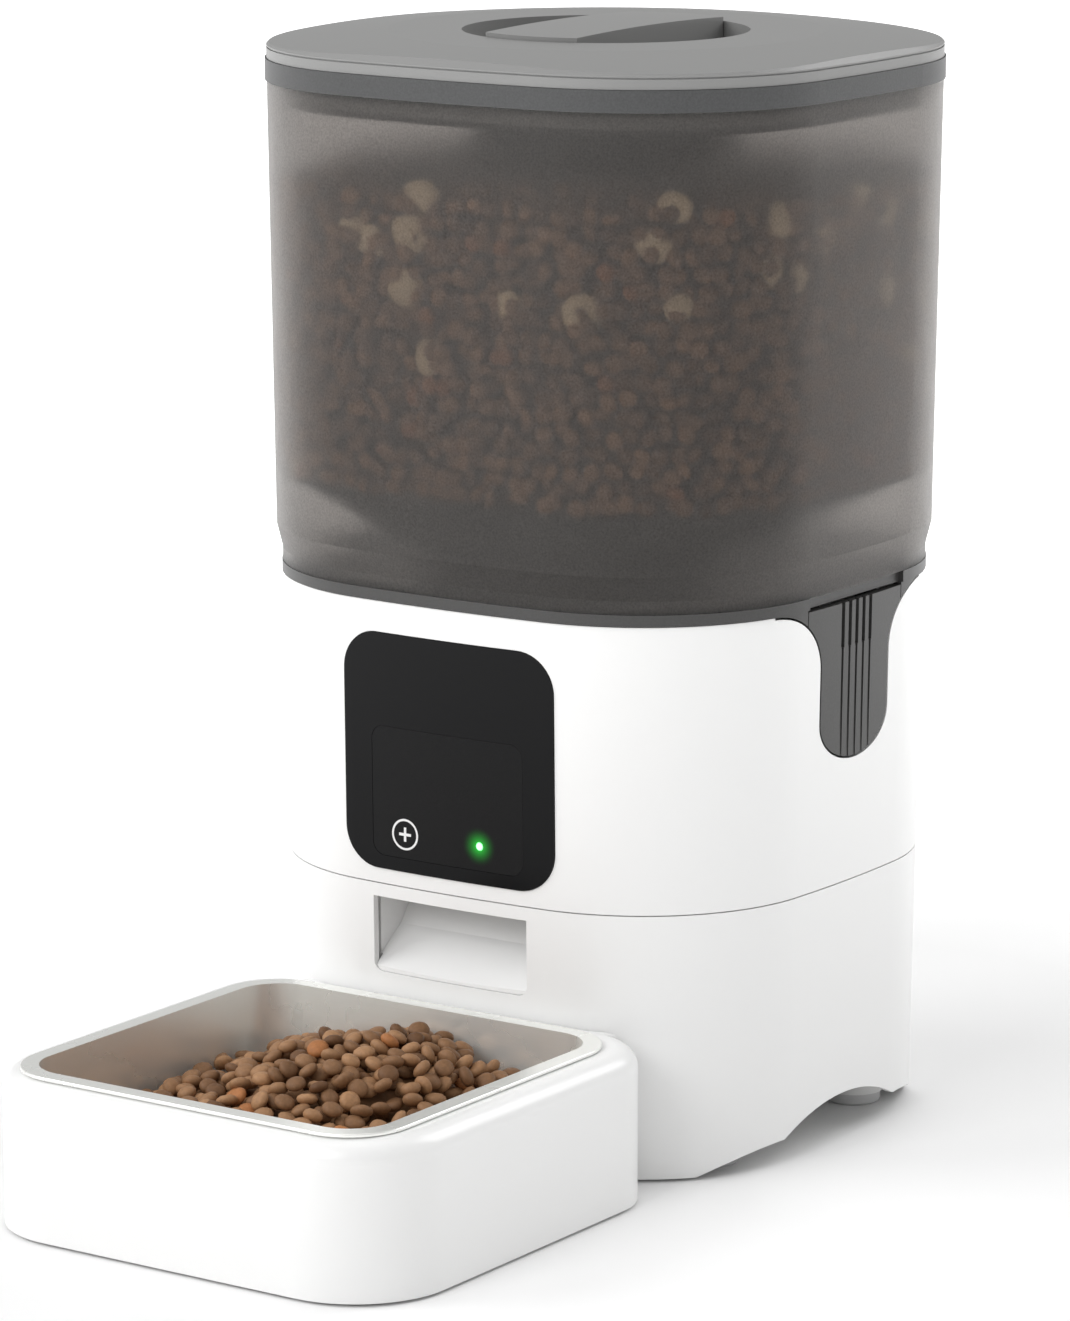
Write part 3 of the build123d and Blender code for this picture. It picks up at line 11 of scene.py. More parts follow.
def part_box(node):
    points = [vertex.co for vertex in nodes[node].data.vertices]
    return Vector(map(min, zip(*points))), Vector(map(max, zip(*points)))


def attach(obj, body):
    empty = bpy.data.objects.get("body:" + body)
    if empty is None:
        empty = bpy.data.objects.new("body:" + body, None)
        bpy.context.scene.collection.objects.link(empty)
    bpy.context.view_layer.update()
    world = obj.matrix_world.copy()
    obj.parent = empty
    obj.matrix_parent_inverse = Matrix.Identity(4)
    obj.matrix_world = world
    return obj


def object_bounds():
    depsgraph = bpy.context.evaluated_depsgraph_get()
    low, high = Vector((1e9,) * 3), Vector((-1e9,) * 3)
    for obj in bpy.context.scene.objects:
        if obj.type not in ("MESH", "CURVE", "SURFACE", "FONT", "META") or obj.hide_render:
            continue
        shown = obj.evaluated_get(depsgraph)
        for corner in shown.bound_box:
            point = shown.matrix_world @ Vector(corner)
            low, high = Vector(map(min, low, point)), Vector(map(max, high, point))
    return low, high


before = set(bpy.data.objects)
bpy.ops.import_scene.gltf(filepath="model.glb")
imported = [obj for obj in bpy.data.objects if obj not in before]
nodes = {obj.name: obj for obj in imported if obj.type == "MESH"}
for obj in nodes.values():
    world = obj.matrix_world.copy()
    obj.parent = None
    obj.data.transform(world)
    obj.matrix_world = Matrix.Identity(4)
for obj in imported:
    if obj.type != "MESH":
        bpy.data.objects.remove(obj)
cad_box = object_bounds()


# ---- The room --------------------------------------------------------------------------------
# A plain pale floor under soft studio light. The feeder stands a little to the side of the
# camera's line, which looks down on it from the front right.

CAMERA_PLACE = (1.03424, -1.47483, 0.53314)
CAMERA_TURN = radians(34.51)
CAMERA_DIP = radians(11.75)
CAMERA_LENS = 159.1
CAMERA_SENSOR = 36.0
CAMERA_SIGHT = 60.0

camera_data = bpy.data.cameras.new("camera")
camera_data.lens = CAMERA_LENS
camera_data.sensor_width = CAMERA_SENSOR
camera_data.clip_end = CAMERA_SIGHT
camera = bpy.data.objects.new("camera", camera_data)
camera.location = CAMERA_PLACE
camera.rotation_euler = (pi / 2 - CAMERA_DIP, 0.0, CAMERA_TURN)
bpy.context.scene.collection.objects.link(camera)
bpy.context.scene.camera = camera
bpy.context.scene.view_settings.view_transform = "Standard"


def softbox(name, azimuth, height, distance, size, power):
    """Large soft light aimed at the feeder; azimuth 0 is in front, and grows to the right."""
    light = bpy.data.lights.new(name, "AREA")
    light.size = size
    light.energy = power
    holder = bpy.data.objects.new(name, light)
    turn, rise = radians(azimuth), radians(height)
    side = Vector((sin(turn) * cos(rise), -cos(turn) * cos(rise), sin(rise)))
    holder.location = (cad_box[0] + cad_box[1]) / 2 + distance * side
    holder.rotation_euler = (-side).to_track_quat("-Z", "Y").to_euler()
    bpy.context.scene.collection.objects.link(holder)


softbox("key_light", -55, 35, 3.0, 1.7, 35)
softbox("front_light", -6, 30, 3.0, 1.5, 27)
softbox("top_light", 0, 88, 2.4, 1.8, 9)
softbox("back_light", 155, 35, 2.5, 1.4, 24)


def set_inputs(node, inputs):
    """Values for a node's inputs, by name with spaces written as underscores."""
    for name, value in inputs.items():
        node.inputs[name.replace("_", " ")].default_value = value
    return node


def place(tree, kind, operation=None, **inputs):
    """New node with its inputs given by name."""
    node = tree.nodes.new(kind)
    if operation:
        node.operation = operation
    return set_inputs(node, inputs)


# The room is brighter to the camera than as a light, so that the backdrop is plain white.
PLAIN_WHITE = (1.0, 1.0, 1.0, 1.0)
ROOM_LIGHT = 0.5

world = bpy.data.worlds.new("studio")
world.use_nodes = True
world_tree = world.node_tree
room_light = world_tree.nodes["Background"]
room_light.inputs["Color"].default_value = PLAIN_WHITE
room_light.inputs["Strength"].default_value = ROOM_LIGHT
backdrop = place(world_tree, "ShaderNodeBackground", Color=PLAIN_WHITE)
ray = place(world_tree, "ShaderNodeLightPath")
room_mix = place(world_tree, "ShaderNodeMixShader")
world_tree.links.new(ray.outputs["Is Camera Ray"], room_mix.inputs["Fac"])
world_tree.links.new(room_light.outputs[0], room_mix.inputs[1])
world_tree.links.new(backdrop.outputs[0], room_mix.inputs[2])
world_tree.links.new(room_mix.outputs[0], world_tree.nodes["World Output"].inputs["Surface"])
bpy.context.scene.world = world


def new_finish(name):
    """Empty node material with its Principled shader."""
    material = bpy.data.materials.new(name)
    material.use_nodes = True
    return material, material.node_tree, material.node_tree.nodes["Principled BSDF"]


# The floor starts to glow a little way out from the feeder, and so runs into the backdrop.
FLOOR_REACH = 25.0
FLOOR_GLOW = (0.3, 1.3)

floor_finish, floor_tree, floor_shader = new_finish("floor_paper")
floor_shader.inputs["Base Color"].default_value = (0.93, 0.93, 0.93, 1.0)
floor_shader.inputs["Roughness"].default_value = 0.55
floor_shader.inputs["Specular IOR Level"].default_value = 0.1
floor_where = place(floor_tree, "ShaderNodeTexCoord")
floor_far = place(floor_tree, "ShaderNodeVectorMath", "LENGTH")
floor_fade = place(
    floor_tree, "ShaderNodeMapRange", From_Min=FLOOR_GLOW[0], From_Max=FLOOR_GLOW[1]
)
floor_tree.links.new(floor_where.outputs["Object"], floor_far.inputs[0])
floor_tree.links.new(floor_far.outputs["Value"], floor_fade.inputs["Value"])
floor_tree.links.new(floor_fade.outputs["Result"], floor_shader.inputs["Emission Strength"])

floor_mesh = bpy.data.meshes.new("floor")
corners = [(x * FLOOR_REACH, y * FLOOR_REACH, 0.0) for x, y in ((-1, -1), (1, -1), (1, 1), (-1, 1))]
floor_mesh.from_pydata(corners, [], [(0, 1, 2, 3)])
floor_mesh.materials.append(floor_finish)
floor = bpy.data.objects.new("floor", floor_mesh)
bpy.context.scene.collection.objects.link(floor)


# ---- White housing, chute and bowl base ------------------------------------------------------
# Injection-moulded white ABS with a fine satin skin. The two housing halves clip together at
# a seam, and the bottom cover is screwed to posts inside them.


def group_socket(group, name, kind, default=None, out=False):
    """Named input or output of a shader node group."""
    side = "OUTPUT" if out else "INPUT"
    socket = group.interface.new_socket(name, in_out=side, socket_type=kind)
    if default is not None:
        socket.default_value = default


def new_group(name):
    """Empty node group, with its input and output nodes and the coordinates it works in."""
    group = bpy.data.node_groups.new(name, "ShaderNodeTree")
    ends = [place(group, kind) for kind in ("NodeGroupInput", "NodeGroupOutput")]
    return group, *ends, place(group, "ShaderNodeTexCoord")


def grouped(tree, group, **inputs):
    """One use of a node group, with its own values."""
    node = place(tree, "ShaderNodeGroup")
    node.node_tree = group
    return set_inputs(node, inputs)


GLOSS_DRIFT = 0.12


def moulded_skin_group():
    """Moulded plastic's skin: slow drift of shade and gloss, and a fine spark-eroded grain."""
    group, given, result, where = new_group("moulded_skin")
    group_socket(group, "Colour", "NodeSocketColor", (0.8, 0.8, 0.8, 1.0))
    group_socket(group, "Drift", "NodeSocketFloat", 0.04)
    group_socket(group, "Roughness", "NodeSocketFloat", 0.4)
    group_socket(group, "Grain Size", "NodeSocketFloat", 2500.0)
    group_socket(group, "Speckle", "NodeSocketFloat", 0.0)
    group_socket(group, "Colour", "NodeSocketColor", out=True)
    group_socket(group, "Roughness", "NodeSocketFloat", out=True)
    group_socket(group, "Height", "NodeSocketFloat", out=True)
    link = group.links.new
    slow = place(group, "ShaderNodeTexNoise", Scale=7.0, Detail=3.0)
    grain = place(group, "ShaderNodeTexNoise", Detail=2.0, Roughness=0.6)
    link(where.outputs["Object"], slow.inputs["Vector"])
    link(where.outputs["Object"], grain.inputs["Vector"])
    link(given.outputs["Grain Size"], grain.inputs["Scale"])
    # shade = 1 + drift * (slow noise - 0.5) + speckle * (grain - 0.5)
    centred = place(group, "ShaderNodeMath", "SUBTRACT")
    speck = place(group, "ShaderNodeMath", "SUBTRACT")
    for noise, shift in ((slow, centred), (grain, speck)):
        shift.inputs[1].default_value = 0.5
        link(noise.outputs["Fac"], shift.inputs[0])
    drift = place(group, "ShaderNodeMath", "MULTIPLY_ADD")
    drift.inputs[2].default_value = 1.0
    link(centred.outputs[0], drift.inputs[0])
    link(given.outputs["Drift"], drift.inputs[1])
    shade = place(group, "ShaderNodeMath", "MULTIPLY_ADD")
    link(speck.outputs[0], shade.inputs[0])
    link(given.outputs["Speckle"], shade.inputs[1])
    link(drift.outputs[0], shade.inputs[2])
    tint = place(group, "ShaderNodeVectorMath", "SCALE")
    link(given.outputs["Colour"], tint.inputs[0])
    link(shade.outputs[0], tint.inputs["Scale"])
    link(tint.outputs[0], result.inputs["Colour"])
    gloss = place(group, "ShaderNodeMath", "MULTIPLY_ADD")
    gloss.inputs[1].default_value = GLOSS_DRIFT
    link(centred.outputs[0], gloss.inputs[0])
    link(given.outputs["Roughness"], gloss.inputs[2])
    link(gloss.outputs[0], result.inputs["Roughness"])
    link(grain.outputs["Fac"], result.inputs["Height"])
    return group


moulded_skin = moulded_skin_group()


def moulded(name, colour, roughness, grain=2500.0, depth=0.00001, drift=0.04, speckle=0.0):
    """Moulded plastic with the shared skin: colour, gloss, and grain per metre and depth."""
    material, tree, shader = new_finish(name)
    skin = grouped(tree, moulded_skin, Colour=(*colour, 1.0), Roughness=roughness, Drift=drift)
    set_inputs(skin, {"Grain Size": grain, "Speckle": speckle})
    bump = place(tree, "ShaderNodeBump", Distance=depth, Strength=0.6)
    tree.links.new(skin.outputs["Colour"], shader.inputs["Base Color"])
    tree.links.new(skin.outputs["Roughness"], shader.inputs["Roughness"])
    tree.links.new(skin.outputs["Height"], bump.inputs["Height"])
    tree.links.new(bump.outputs["Normal"], shader.inputs["Normal"])
    return material


def shader_of(material):
    """Principled shader of a finish."""
    return material.node_tree.nodes["Principled BSDF"]


def dress(node, material):
    """Gives a CAD node its finish."""
    holder = nodes[node]
    if not holder.material_slots:
        holder.data.materials.append(material)
    for slot in holder.material_slots:
        slot.material = material


white_shell = moulded("white_shell", (0.86, 0.86, 0.855), 0.3, drift=0.015)
shader_of(white_shell).inputs["Coat Weight"].default_value = 0.15
inner_white = moulded("inner_white", (0.78, 0.78, 0.77), 0.5, grain=1800.0, depth=0.00003)

for name in ("lower_housing", "upper_housing", "chute", "bowl_base"):
    dress(name, white_shell)
for name in ("bottom_cover", "battery_door", "rotor_chamber", "rotor"):
    dress(name, inner_white)


# ---- Control panel ---------------------------------------------------------------------------
# A glossy black plate set into the front, with a matt inlay that carries the feed key and the
# light pipe of the status lamp. The key's ring and plus are printed in white.

button_low, button_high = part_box("feed_button")
lamp_low, lamp_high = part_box("status_led")
button_centre = (button_low + button_high) / 2
lamp_centre = (lamp_low + lamp_high) / 2

panel_gloss = moulded("panel_gloss", (0.006, 0.006, 0.0065), 0.14, grain=300.0, depth=0.000004)
BLACK_SHINE = 0.12       # specular level of both blacks
LAMP_EDGE = 0.0015
# The green glow round the lamp is painted on the inlay and the feed key as emission, fading with
# distance.
PAINTED_GLOW_NEAR, PAINTED_GLOW_FAR = 0.001, 0.0068
PAINTED_GLOW_FALL = 2.6
PAINTED_GLOW_GREEN = (0.02, 0.5, 0.04)
LAMP_POWER = 2.2

shader_of(panel_gloss).inputs["Specular IOR Level"].default_value = BLACK_SHINE


def lamp_nearness_group():
    """How near a point is to the lamp's face: 1 up to Near, and falling to 0 at Far."""
    group, given, result, where = new_group("lamp_nearness")
    group_socket(group, "Near", "NodeSocketFloat", 0.0)
    group_socket(group, "Far", "NodeSocketFloat", 0.01)
    group_socket(group, "Nearness", "NodeSocketFloat", out=True)
    link = group.links.new
    gap = place(group, "ShaderNodeVectorMath", "DISTANCE")
    gap.inputs[1].default_value = (lamp_centre.x, lamp_low.y, lamp_centre.z)
    fall = place(group, "ShaderNodeMapRange", To_Min=1.0, To_Max=0.0)
    link(where.outputs["Object"], gap.inputs[0])
    link(gap.outputs["Value"], fall.inputs["Value"])
    link(given.outputs["Near"], fall.inputs["From Min"])
    link(given.outputs["Far"], fall.inputs["From Max"])
    link(fall.outputs["Result"], result.inputs["Nearness"])
    return group


lamp_nearness = lamp_nearness_group()


def pad_finish():
    """Matt textured inlay with a painted green glow round the lamp, given as emission."""
    colour = (0.01, 0.01, 0.0105)
    material = moulded("pad_matt", colour, 0.55, grain=3200.0, depth=0.00004, speckle=0.9)
    tree, shader = material.node_tree, shader_of(material)
    shader.inputs["Specular IOR Level"].default_value = BLACK_SHINE
    fade = grouped(tree, lamp_nearness, Near=PAINTED_GLOW_NEAR, Far=PAINTED_GLOW_FAR)
    curve = place(tree, "ShaderNodeMath", "POWER")
    curve.inputs[1].default_value = PAINTED_GLOW_FALL
    glow = place(tree, "ShaderNodeVectorMath", "SCALE")
    glow.inputs[0].default_value = PAINTED_GLOW_GREEN
    tree.links.new(fade.outputs["Nearness"], curve.inputs[0])
    tree.links.new(curve.outputs[0], glow.inputs["Scale"])
    tree.links.new(glow.outputs[0], shader.inputs["Emission Color"])
    shader.inputs["Emission Strength"].default_value = 1.0
    return material


def lamp_finish():
    """Lit light pipe: white-green in the middle, deeper green at its edge."""
    material, tree, shader = new_finish("lamp_green")
    fade = grouped(tree, lamp_nearness, Near=0.0, Far=LAMP_EDGE)
    ramp = place(tree, "ShaderNodeValToRGB")
    ramp.color_ramp.elements[0].color = (0.06, 0.8, 0.12, 1.0)
    ramp.color_ramp.elements[1].color = (0.75, 1.0, 0.8, 1.0)
    tree.links.new(fade.outputs["Nearness"], ramp.inputs["Fac"])
    tree.links.new(ramp.outputs["Color"], shader.inputs["Emission Color"])
    shader.inputs["Base Color"].default_value = (0.2, 0.8, 0.3, 1.0)
    shader.inputs["Roughness"].default_value = 0.25
    shader.inputs["Emission Strength"].default_value = LAMP_POWER
    return material


pad_matt = pad_finish()
dress("control_panel", panel_gloss)
dress("panel_pad", pad_matt)
# The key wears the inlay's finish, painted glow included.
dress("feed_button", pad_matt)
dress("status_led", lamp_finish())

# The ink is a little uneven, as a printing pad leaves it.
print_white, print_tree, print_shader = new_finish("print_white")
print_where = place(print_tree, "ShaderNodeTexCoord")
print_noise = place(print_tree, "ShaderNodeTexNoise", Scale=4000.0, Detail=2.0)
print_ramp = place(print_tree, "ShaderNodeValToRGB")
print_ramp.color_ramp.elements[0].color = (0.72, 0.72, 0.72, 1.0)
print_ramp.color_ramp.elements[1].color = (0.9, 0.9, 0.9, 1.0)
print_tree.links.new(print_where.outputs["Object"], print_noise.inputs["Vector"])
print_tree.links.new(print_noise.outputs["Fac"], print_ramp.inputs["Fac"])
print_tree.links.new(print_ramp.outputs["Color"], print_shader.inputs["Base Color"])
print_shader.inputs["Roughness"].default_value = 0.5

MARK_RING_R = 0.0047
MARK_RING_WIDTH = 0.0007
MARK_RING_STEPS = 72
MARK_ARM = 0.0023
MARK_ARM_HALF = 0.00045
MARK_PROUD = 0.00004
MARK_DEPTH = 0.00008


def mesh_piece(name, vertices, faces, material, smooth=True):
    """Object with a new mesh, in the row frame."""
    mesh = bpy.data.meshes.new(name)
    mesh.from_pydata(vertices, [], faces)
    mesh.validate()
    mesh.materials.append(material)
    if smooth:
        mesh.shade_smooth()
    piece = bpy.data.objects.new(name, mesh)
    bpy.context.scene.collection.objects.link(piece)
    return piece


def printed_mark():
    """Ring and plus of ink on the key's face, each a thin closed solid."""
    front = button_low.y - MARK_PROUD
    back = front + MARK_DEPTH
    middle_x, middle_z = button_centre.x, button_centre.z
    inner, outer = MARK_RING_R - MARK_RING_WIDTH / 2, MARK_RING_R + MARK_RING_WIDTH / 2
    vertices, faces = [], []
    for step in range(MARK_RING_STEPS):
        angle = tau * step / MARK_RING_STEPS
        for radius in (inner, outer):
            x, z = middle_x + radius * cos(angle), middle_z + radius * sin(angle)
            vertices += [(x, front, z), (x, back, z)]
        a, b = 4 * step, 4 * ((step + 1) % MARK_RING_STEPS)
        faces += [(a, b, b + 2, a + 2), (a + 1, a + 3, b + 3, b + 1)]
        faces += [(a, a + 1, b + 1, b), (a + 2, b + 2, b + 3, a + 3)]
    arm, half = MARK_ARM, MARK_ARM_HALF
    cross = [(half, half), (arm, half), (arm, -half), (half, -half), (half, -arm), (-half, -arm)]
    cross += [(-half, -half), (-arm, -half), (-arm, half), (-half, half), (-half, arm), (half, arm)]
    first = len(vertices)
    count = len(cross)
    for y in (front, back):
        vertices += [(middle_x + x, y, middle_z + z) for x, z in cross]
    faces.append(tuple(first + i for i in range(count)))
    faces.append(tuple(first + count + i for i in reversed(range(count))))
    for i in range(count):
        j = (i + 1) % count
        faces.append((first + j, first + i, first + count + i, first + count + j))
    return mesh_piece("key_mark", vertices, faces, print_white, smooth=False)


key_mark = printed_mark()
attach(key_mark, "feed_button")


# ---- Food tank, collar, rim and latch tongues ------------------------------------------------
# One blow of smoky, frosted plastic, clear enough for the food to show as soft shapes. Its
# collar, rim and tongues are the same smoke colour but thicker, so they look solid.


def smoke(name, colour, roughness, **skin):
    """Smoky frosted plastic, with the grain that all its pieces share."""
    return moulded(name, colour, roughness, grain=1500.0, **skin)


# A low index of refraction keeps the edges of the tank's wall soft and pale.
smoke_tank = smoke("smoke_tank", (0.44, 0.42, 0.405), 0.38, depth=0.00003, drift=0.1, speckle=1.3)
shader_of(smoke_tank).inputs["Transmission Weight"].default_value = 0.92
shader_of(smoke_tank).inputs["IOR"].default_value = 1.2
shader_of(smoke_tank).inputs["Specular IOR Level"].default_value = 0.25
smoke_solid = smoke("smoke_solid", (0.045, 0.044, 0.043), 0.42, depth=0.00003, speckle=0.6)
rim_smoke = smoke("rim_smoke", (0.05, 0.051, 0.052), 0.45, depth=0.00004, speckle=0.9)

for name in ("tank", "tank_hopper", "feed_shield"):
    dress(name, smoke_tank)
for name in ("tank_collar", "latch_left", "latch_right"):
    dress(name, smoke_solid)
dress("tank_rim", rim_smoke)


# ---- Lid and knob ----------------------------------------------------------------------------
# Grey satin plastic. A grip bar lies flush across a round dish, and a quarter turn pushes two
# bolts out under the rim. Below hang a liner and a box for a drying bag.

lid_grey = moulded("lid_grey", (0.225, 0.225, 0.222), 0.42, grain=2200.0, depth=0.00001, drift=0.05)
liner_grey = moulded("liner_grey", (0.07, 0.07, 0.07), 0.5)
silicone = moulded("silicone", (0.45, 0.45, 0.45), 0.6, grain=900.0, depth=0.00002)
acetal = moulded("acetal", (0.72, 0.7, 0.64), 0.38, grain=1200.0)

dress("lid_cover", lid_grey)
dress("lid_knob", lid_grey)
for name in ("lid_liner", "desiccant_box", "desiccant_cover"):
    dress(name, liner_grey)
for name in ("knob_cam", "bolt_left", "bolt_right", "output_gear", "idler_gear"):
    dress(name, acetal)
for name in ("lid_seal", "rotor_wipers", "stirrer"):
    dress(name, silicone)


# ---- Steel bowl ------------------------------------------------------------------------------
# Pressed from thin stainless sheet, with a satin finish in fine lines and a flat rolled rim.
# It hangs by the rim in its plastic base and lifts out for washing.

STREAK_SCALE = (60.0, 3000.0, 3000.0)


def satin_steel():
    """Satin stainless steel with fine streaks and a few soft smears."""
    material, tree, shader = new_finish("satin_steel")
    where = place(tree, "ShaderNodeTexCoord")
    stretch = place(tree, "ShaderNodeMapping", Scale=STREAK_SCALE)
    streaks = place(tree, "ShaderNodeTexNoise", Scale=1.0, Detail=3.0)
    smears = place(tree, "ShaderNodeTexNoise", Scale=25.0, Detail=4.0)
    tree.links.new(where.outputs["Object"], stretch.inputs["Vector"])
    tree.links.new(stretch.outputs["Vector"], streaks.inputs["Vector"])
    tree.links.new(where.outputs["Object"], smears.inputs["Vector"])
    tone = place(tree, "ShaderNodeValToRGB")
    tone.color_ramp.elements[0].color = (0.9, 0.91, 0.87, 1.0)
    tone.color_ramp.elements[1].color = (0.97, 0.97, 0.94, 1.0)
    tree.links.new(streaks.outputs["Fac"], tone.inputs["Fac"])
    tree.links.new(tone.outputs["Color"], shader.inputs["Base Color"])
    gloss = place(tree, "ShaderNodeMapRange", To_Min=0.2, To_Max=0.36)
    tree.links.new(smears.outputs["Fac"], gloss.inputs["Value"])
    tree.links.new(gloss.outputs["Result"], shader.inputs["Roughness"])
    bump = place(tree, "ShaderNodeBump", Distance=0.000001, Strength=0.4)
    tree.links.new(streaks.outputs["Fac"], bump.inputs["Height"])
    tree.links.new(bump.outputs["Normal"], shader.inputs["Normal"])
    shader.inputs["Metallic"].default_value = 0.62
    return material


dress("steel_bowl", satin_steel())


# ---- Kibble ----------------------------------------------------------------------------------
# Dry food: small smooth lens-shaped pieces, baked brown, a few broken open and orange. They
# heap up in the steel bowl and fill the tank to a little under its rim.

KIBBLE_R = (0.0031, 0.0035)
KIBBLE_HALF_T = (0.0017, 0.002)
KIBBLE_WALL_GAP = 0.0004

# The tone runs from dark crust up to MOST_CRUST, then broken orange, then pale biscuit.
# The core under the pieces takes a tone darker than most pieces: painted shade in the gaps between
# them.
CORE_PAINTED_SHADE_TONE = 0.1
CRUST_TONE, CRUST_SPREAD, MOST_CRUST = 0.4, 0.2, 0.7
BROKEN_TONE, BROKEN_SHARE = 0.82, 0.03
BISCUIT_TONE = 1.0

draw = random.Random(41)


def kibble_finish():
    """Baked brown crust with fine mottling; the tone of each piece comes with its faces."""
    material, tree, shader = new_finish("kibble_crust")
    tone = place(tree, "ShaderNodeAttribute")
    tone.attribute_name = "tone"
    crust = place(tree, "ShaderNodeValToRGB")
    stops = crust.color_ramp.elements
    stops[0].position, stops[0].color = 0.0, (0.15, 0.072, 0.032, 1.0)
    stops[1].position, stops[1].color = MOST_CRUST, (0.42, 0.23, 0.115, 1.0)
    stops.new(BROKEN_TONE).color = (0.42, 0.17, 0.06, 1.0)
    stops.new(BISCUIT_TONE).color = (0.8, 0.62, 0.4, 1.0)
    where = place(tree, "ShaderNodeTexCoord")
    mottle = place(tree, "ShaderNodeTexNoise", Scale=900.0, Detail=4.0)
    shade = place(tree, "ShaderNodeMapRange", To_Min=0.7, To_Max=1.25)
    tint = place(tree, "ShaderNodeVectorMath", "SCALE")
    bump = place(tree, "ShaderNodeBump", Distance=0.00012, Strength=0.5)
    link = tree.links.new
    link(tone.outputs["Fac"], crust.inputs["Fac"])
    link(where.outputs["Object"], mottle.inputs["Vector"])
    link(mottle.outputs["Fac"], shade.inputs["Value"])
    link(crust.outputs["Color"], tint.inputs[0])
    link(shade.outputs["Result"], tint.inputs["Scale"])
    link(tint.outputs[0], shader.inputs["Base Color"])
    link(mottle.outputs["Fac"], bump.inputs["Height"])
    link(bump.outputs["Normal"], shader.inputs["Normal"])
    shader.inputs["Roughness"].default_value = 0.58
    shader.inputs["Specular IOR Level"].default_value = 0.3
    return material


LENS_FULLNESS = 0.8      # under 1 gives a piece a fuller edge than an ellipsoid has
LENS_WAVE = 0.06         # most that a piece is out of round, as a share of its radius
CORE_RINGS, CORE_STEPS = 22, 90


class Heap:
    """Growing mesh of kibble pieces with a tone for each face."""

    def __init__(self, steps, rings):
        self.vertices, self.faces, self.tones = [], [], []
        self.steps, self.rings = steps, rings

    def add_lens(self, centre, normal, radius, half, tone):
        """One lens: rings from pole to pole round its normal."""
        across = normal.orthogonal().normalized()
        along = normal.cross(across)
        first = len(self.vertices)
        wave, lean = draw.uniform(0.0, LENS_WAVE), draw.uniform(0.0, tau)
        self.vertices.append(centre + half * normal)
        for ring in range(1, self.rings):
            turn = pi * ring / self.rings
            for step in range(self.steps):
                angle = tau * step / self.steps
                reach = radius * sin(turn) ** LENS_FULLNESS * (1 + wave * cos(2 * angle + lean))
                out = reach * (cos(angle) * across + sin(angle) * along)
                self.vertices.append(centre + out + half * cos(turn) * normal)
        self.vertices.append(centre - half * normal)
        before = len(self.faces)
        last = len(self.vertices) - 1
        for step in range(self.steps):
            follow = (step + 1) % self.steps
            self.faces.append((first, first + 1 + step, first + 1 + follow))
            for ring in range(self.rings - 2):
                low = first + 1 + ring * self.steps
                high = low + self.steps
                self.faces.append((low + step, high + step, high + follow, low + follow))
            low = last - self.steps
            self.faces.append((low + step, last, low + follow))
        self.tones += [tone] * (len(self.faces) - before)

    def add_core(self, point, under, over):
        """Closed body under the pieces, between the heights that under and over give; its dark tone
        is painted shade in the gaps between the pieces.

        point(share, angle, height) lies at a share of the way from its middle to its edge.
        """
        rings, steps = CORE_RINGS, CORE_STEPS
        for height, turned in ((over, False), (under, True)):
            first = len(self.vertices)
            self.vertices.append(point(0.0, 0.0, height))
            for ring in range(1, rings + 1):
                for step in range(steps):
                    self.vertices.append(point(ring / rings, tau * step / steps, height))
            for step in range(steps):
                follow = (step + 1) % steps
                fan = (first, first + 1 + step, first + 1 + follow)
                self.faces.append(fan[::-1] if turned else fan)
                for ring in range(rings - 1):
                    low = first + 1 + ring * steps
                    quad = (low + step, low + steps + step, low + steps + follow, low + follow)
                    self.faces.append(quad[::-1] if turned else quad)
        rim = len(self.vertices) - steps
        top = rim - 1 - rings * steps
        for step in range(steps):
            follow = (step + 1) % steps
            self.faces.append((top + step, rim + step, rim + follow, top + follow))
        # the core's faces get the dark tone of painted shade
        self.tones += [CORE_PAINTED_SHADE_TONE] * (len(self.faces) - len(self.tones))

    def finish(self, name):
        """Turns the heap into an object."""
        piece = mesh_piece(name, self.vertices, self.faces, kibble_crust)
        tones = piece.data.attributes.new("tone", "FLOAT", "FACE")
        tones.data.foreach_set("value", self.tones)
        return piece


def kibble_size():
    """Radius, half thickness and tone of the next piece."""
    if draw.random() < BROKEN_SHARE:
        tone = BROKEN_TONE
    else:
        tone = min(max(draw.gauss(CRUST_TONE, CRUST_SPREAD), 0.0), MOST_CRUST)
    return draw.uniform(*KIBBLE_R), draw.uniform(*KIBBLE_HALF_T), tone


def tilted(slope_x, slope_y, spread):
    """Unit normal of a piece that lies on a slope, with a random tilt but never on edge."""
    tilt = abs(draw.gauss(0.0, spread))
    turn = draw.uniform(0.0, tau)
    x, y = sin(tilt) * cos(turn) - slope_x, sin(tilt) * sin(turn) - slope_y
    return Vector((x, y, max(cos(tilt), 0.15))).normalized()


kibble_crust = kibble_finish()

# In the bowl they are dropped onto a closed core, up to the surface of one soft heap.

BOWL_LIP = 0.0058        # from the bowl's outer edge to the top of its wall
BOWL_DRAFT = 0.0875      # slope of the wall
BOWL_CORNER = 0.0142
bowl_low, bowl_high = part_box("steel_bowl")
bowl_middle = (bowl_low + bowl_high) / 2
bowl_reach = (bowl_high - bowl_low) / 2 - Vector((BOWL_LIP, BOWL_LIP, 0.0))

HEAP_LOW = 0.0245        # depth of the heap's foot under the rim
HEAP_RISE = 0.0225
HEAP_X, HEAP_Y = 0.003, 0.022
HEAP_WIDE_X, HEAP_WIDE_Y = 0.048, 0.06
HEAP_LUMP = 0.0012


def wall_gap(x, y, z):
    """Distance inwards from the bowl's wall at a height."""
    inset = BOWL_DRAFT * (bowl_high.z - z)
    dx = abs(x - bowl_middle.x) - (bowl_reach.x - inset - BOWL_CORNER)
    dy = abs(y - bowl_middle.y) - (bowl_reach.y - inset - BOWL_CORNER)
    return BOWL_CORNER - hypot(max(dx, 0.0), max(dy, 0.0)) - min(max(dx, dy), 0.0)


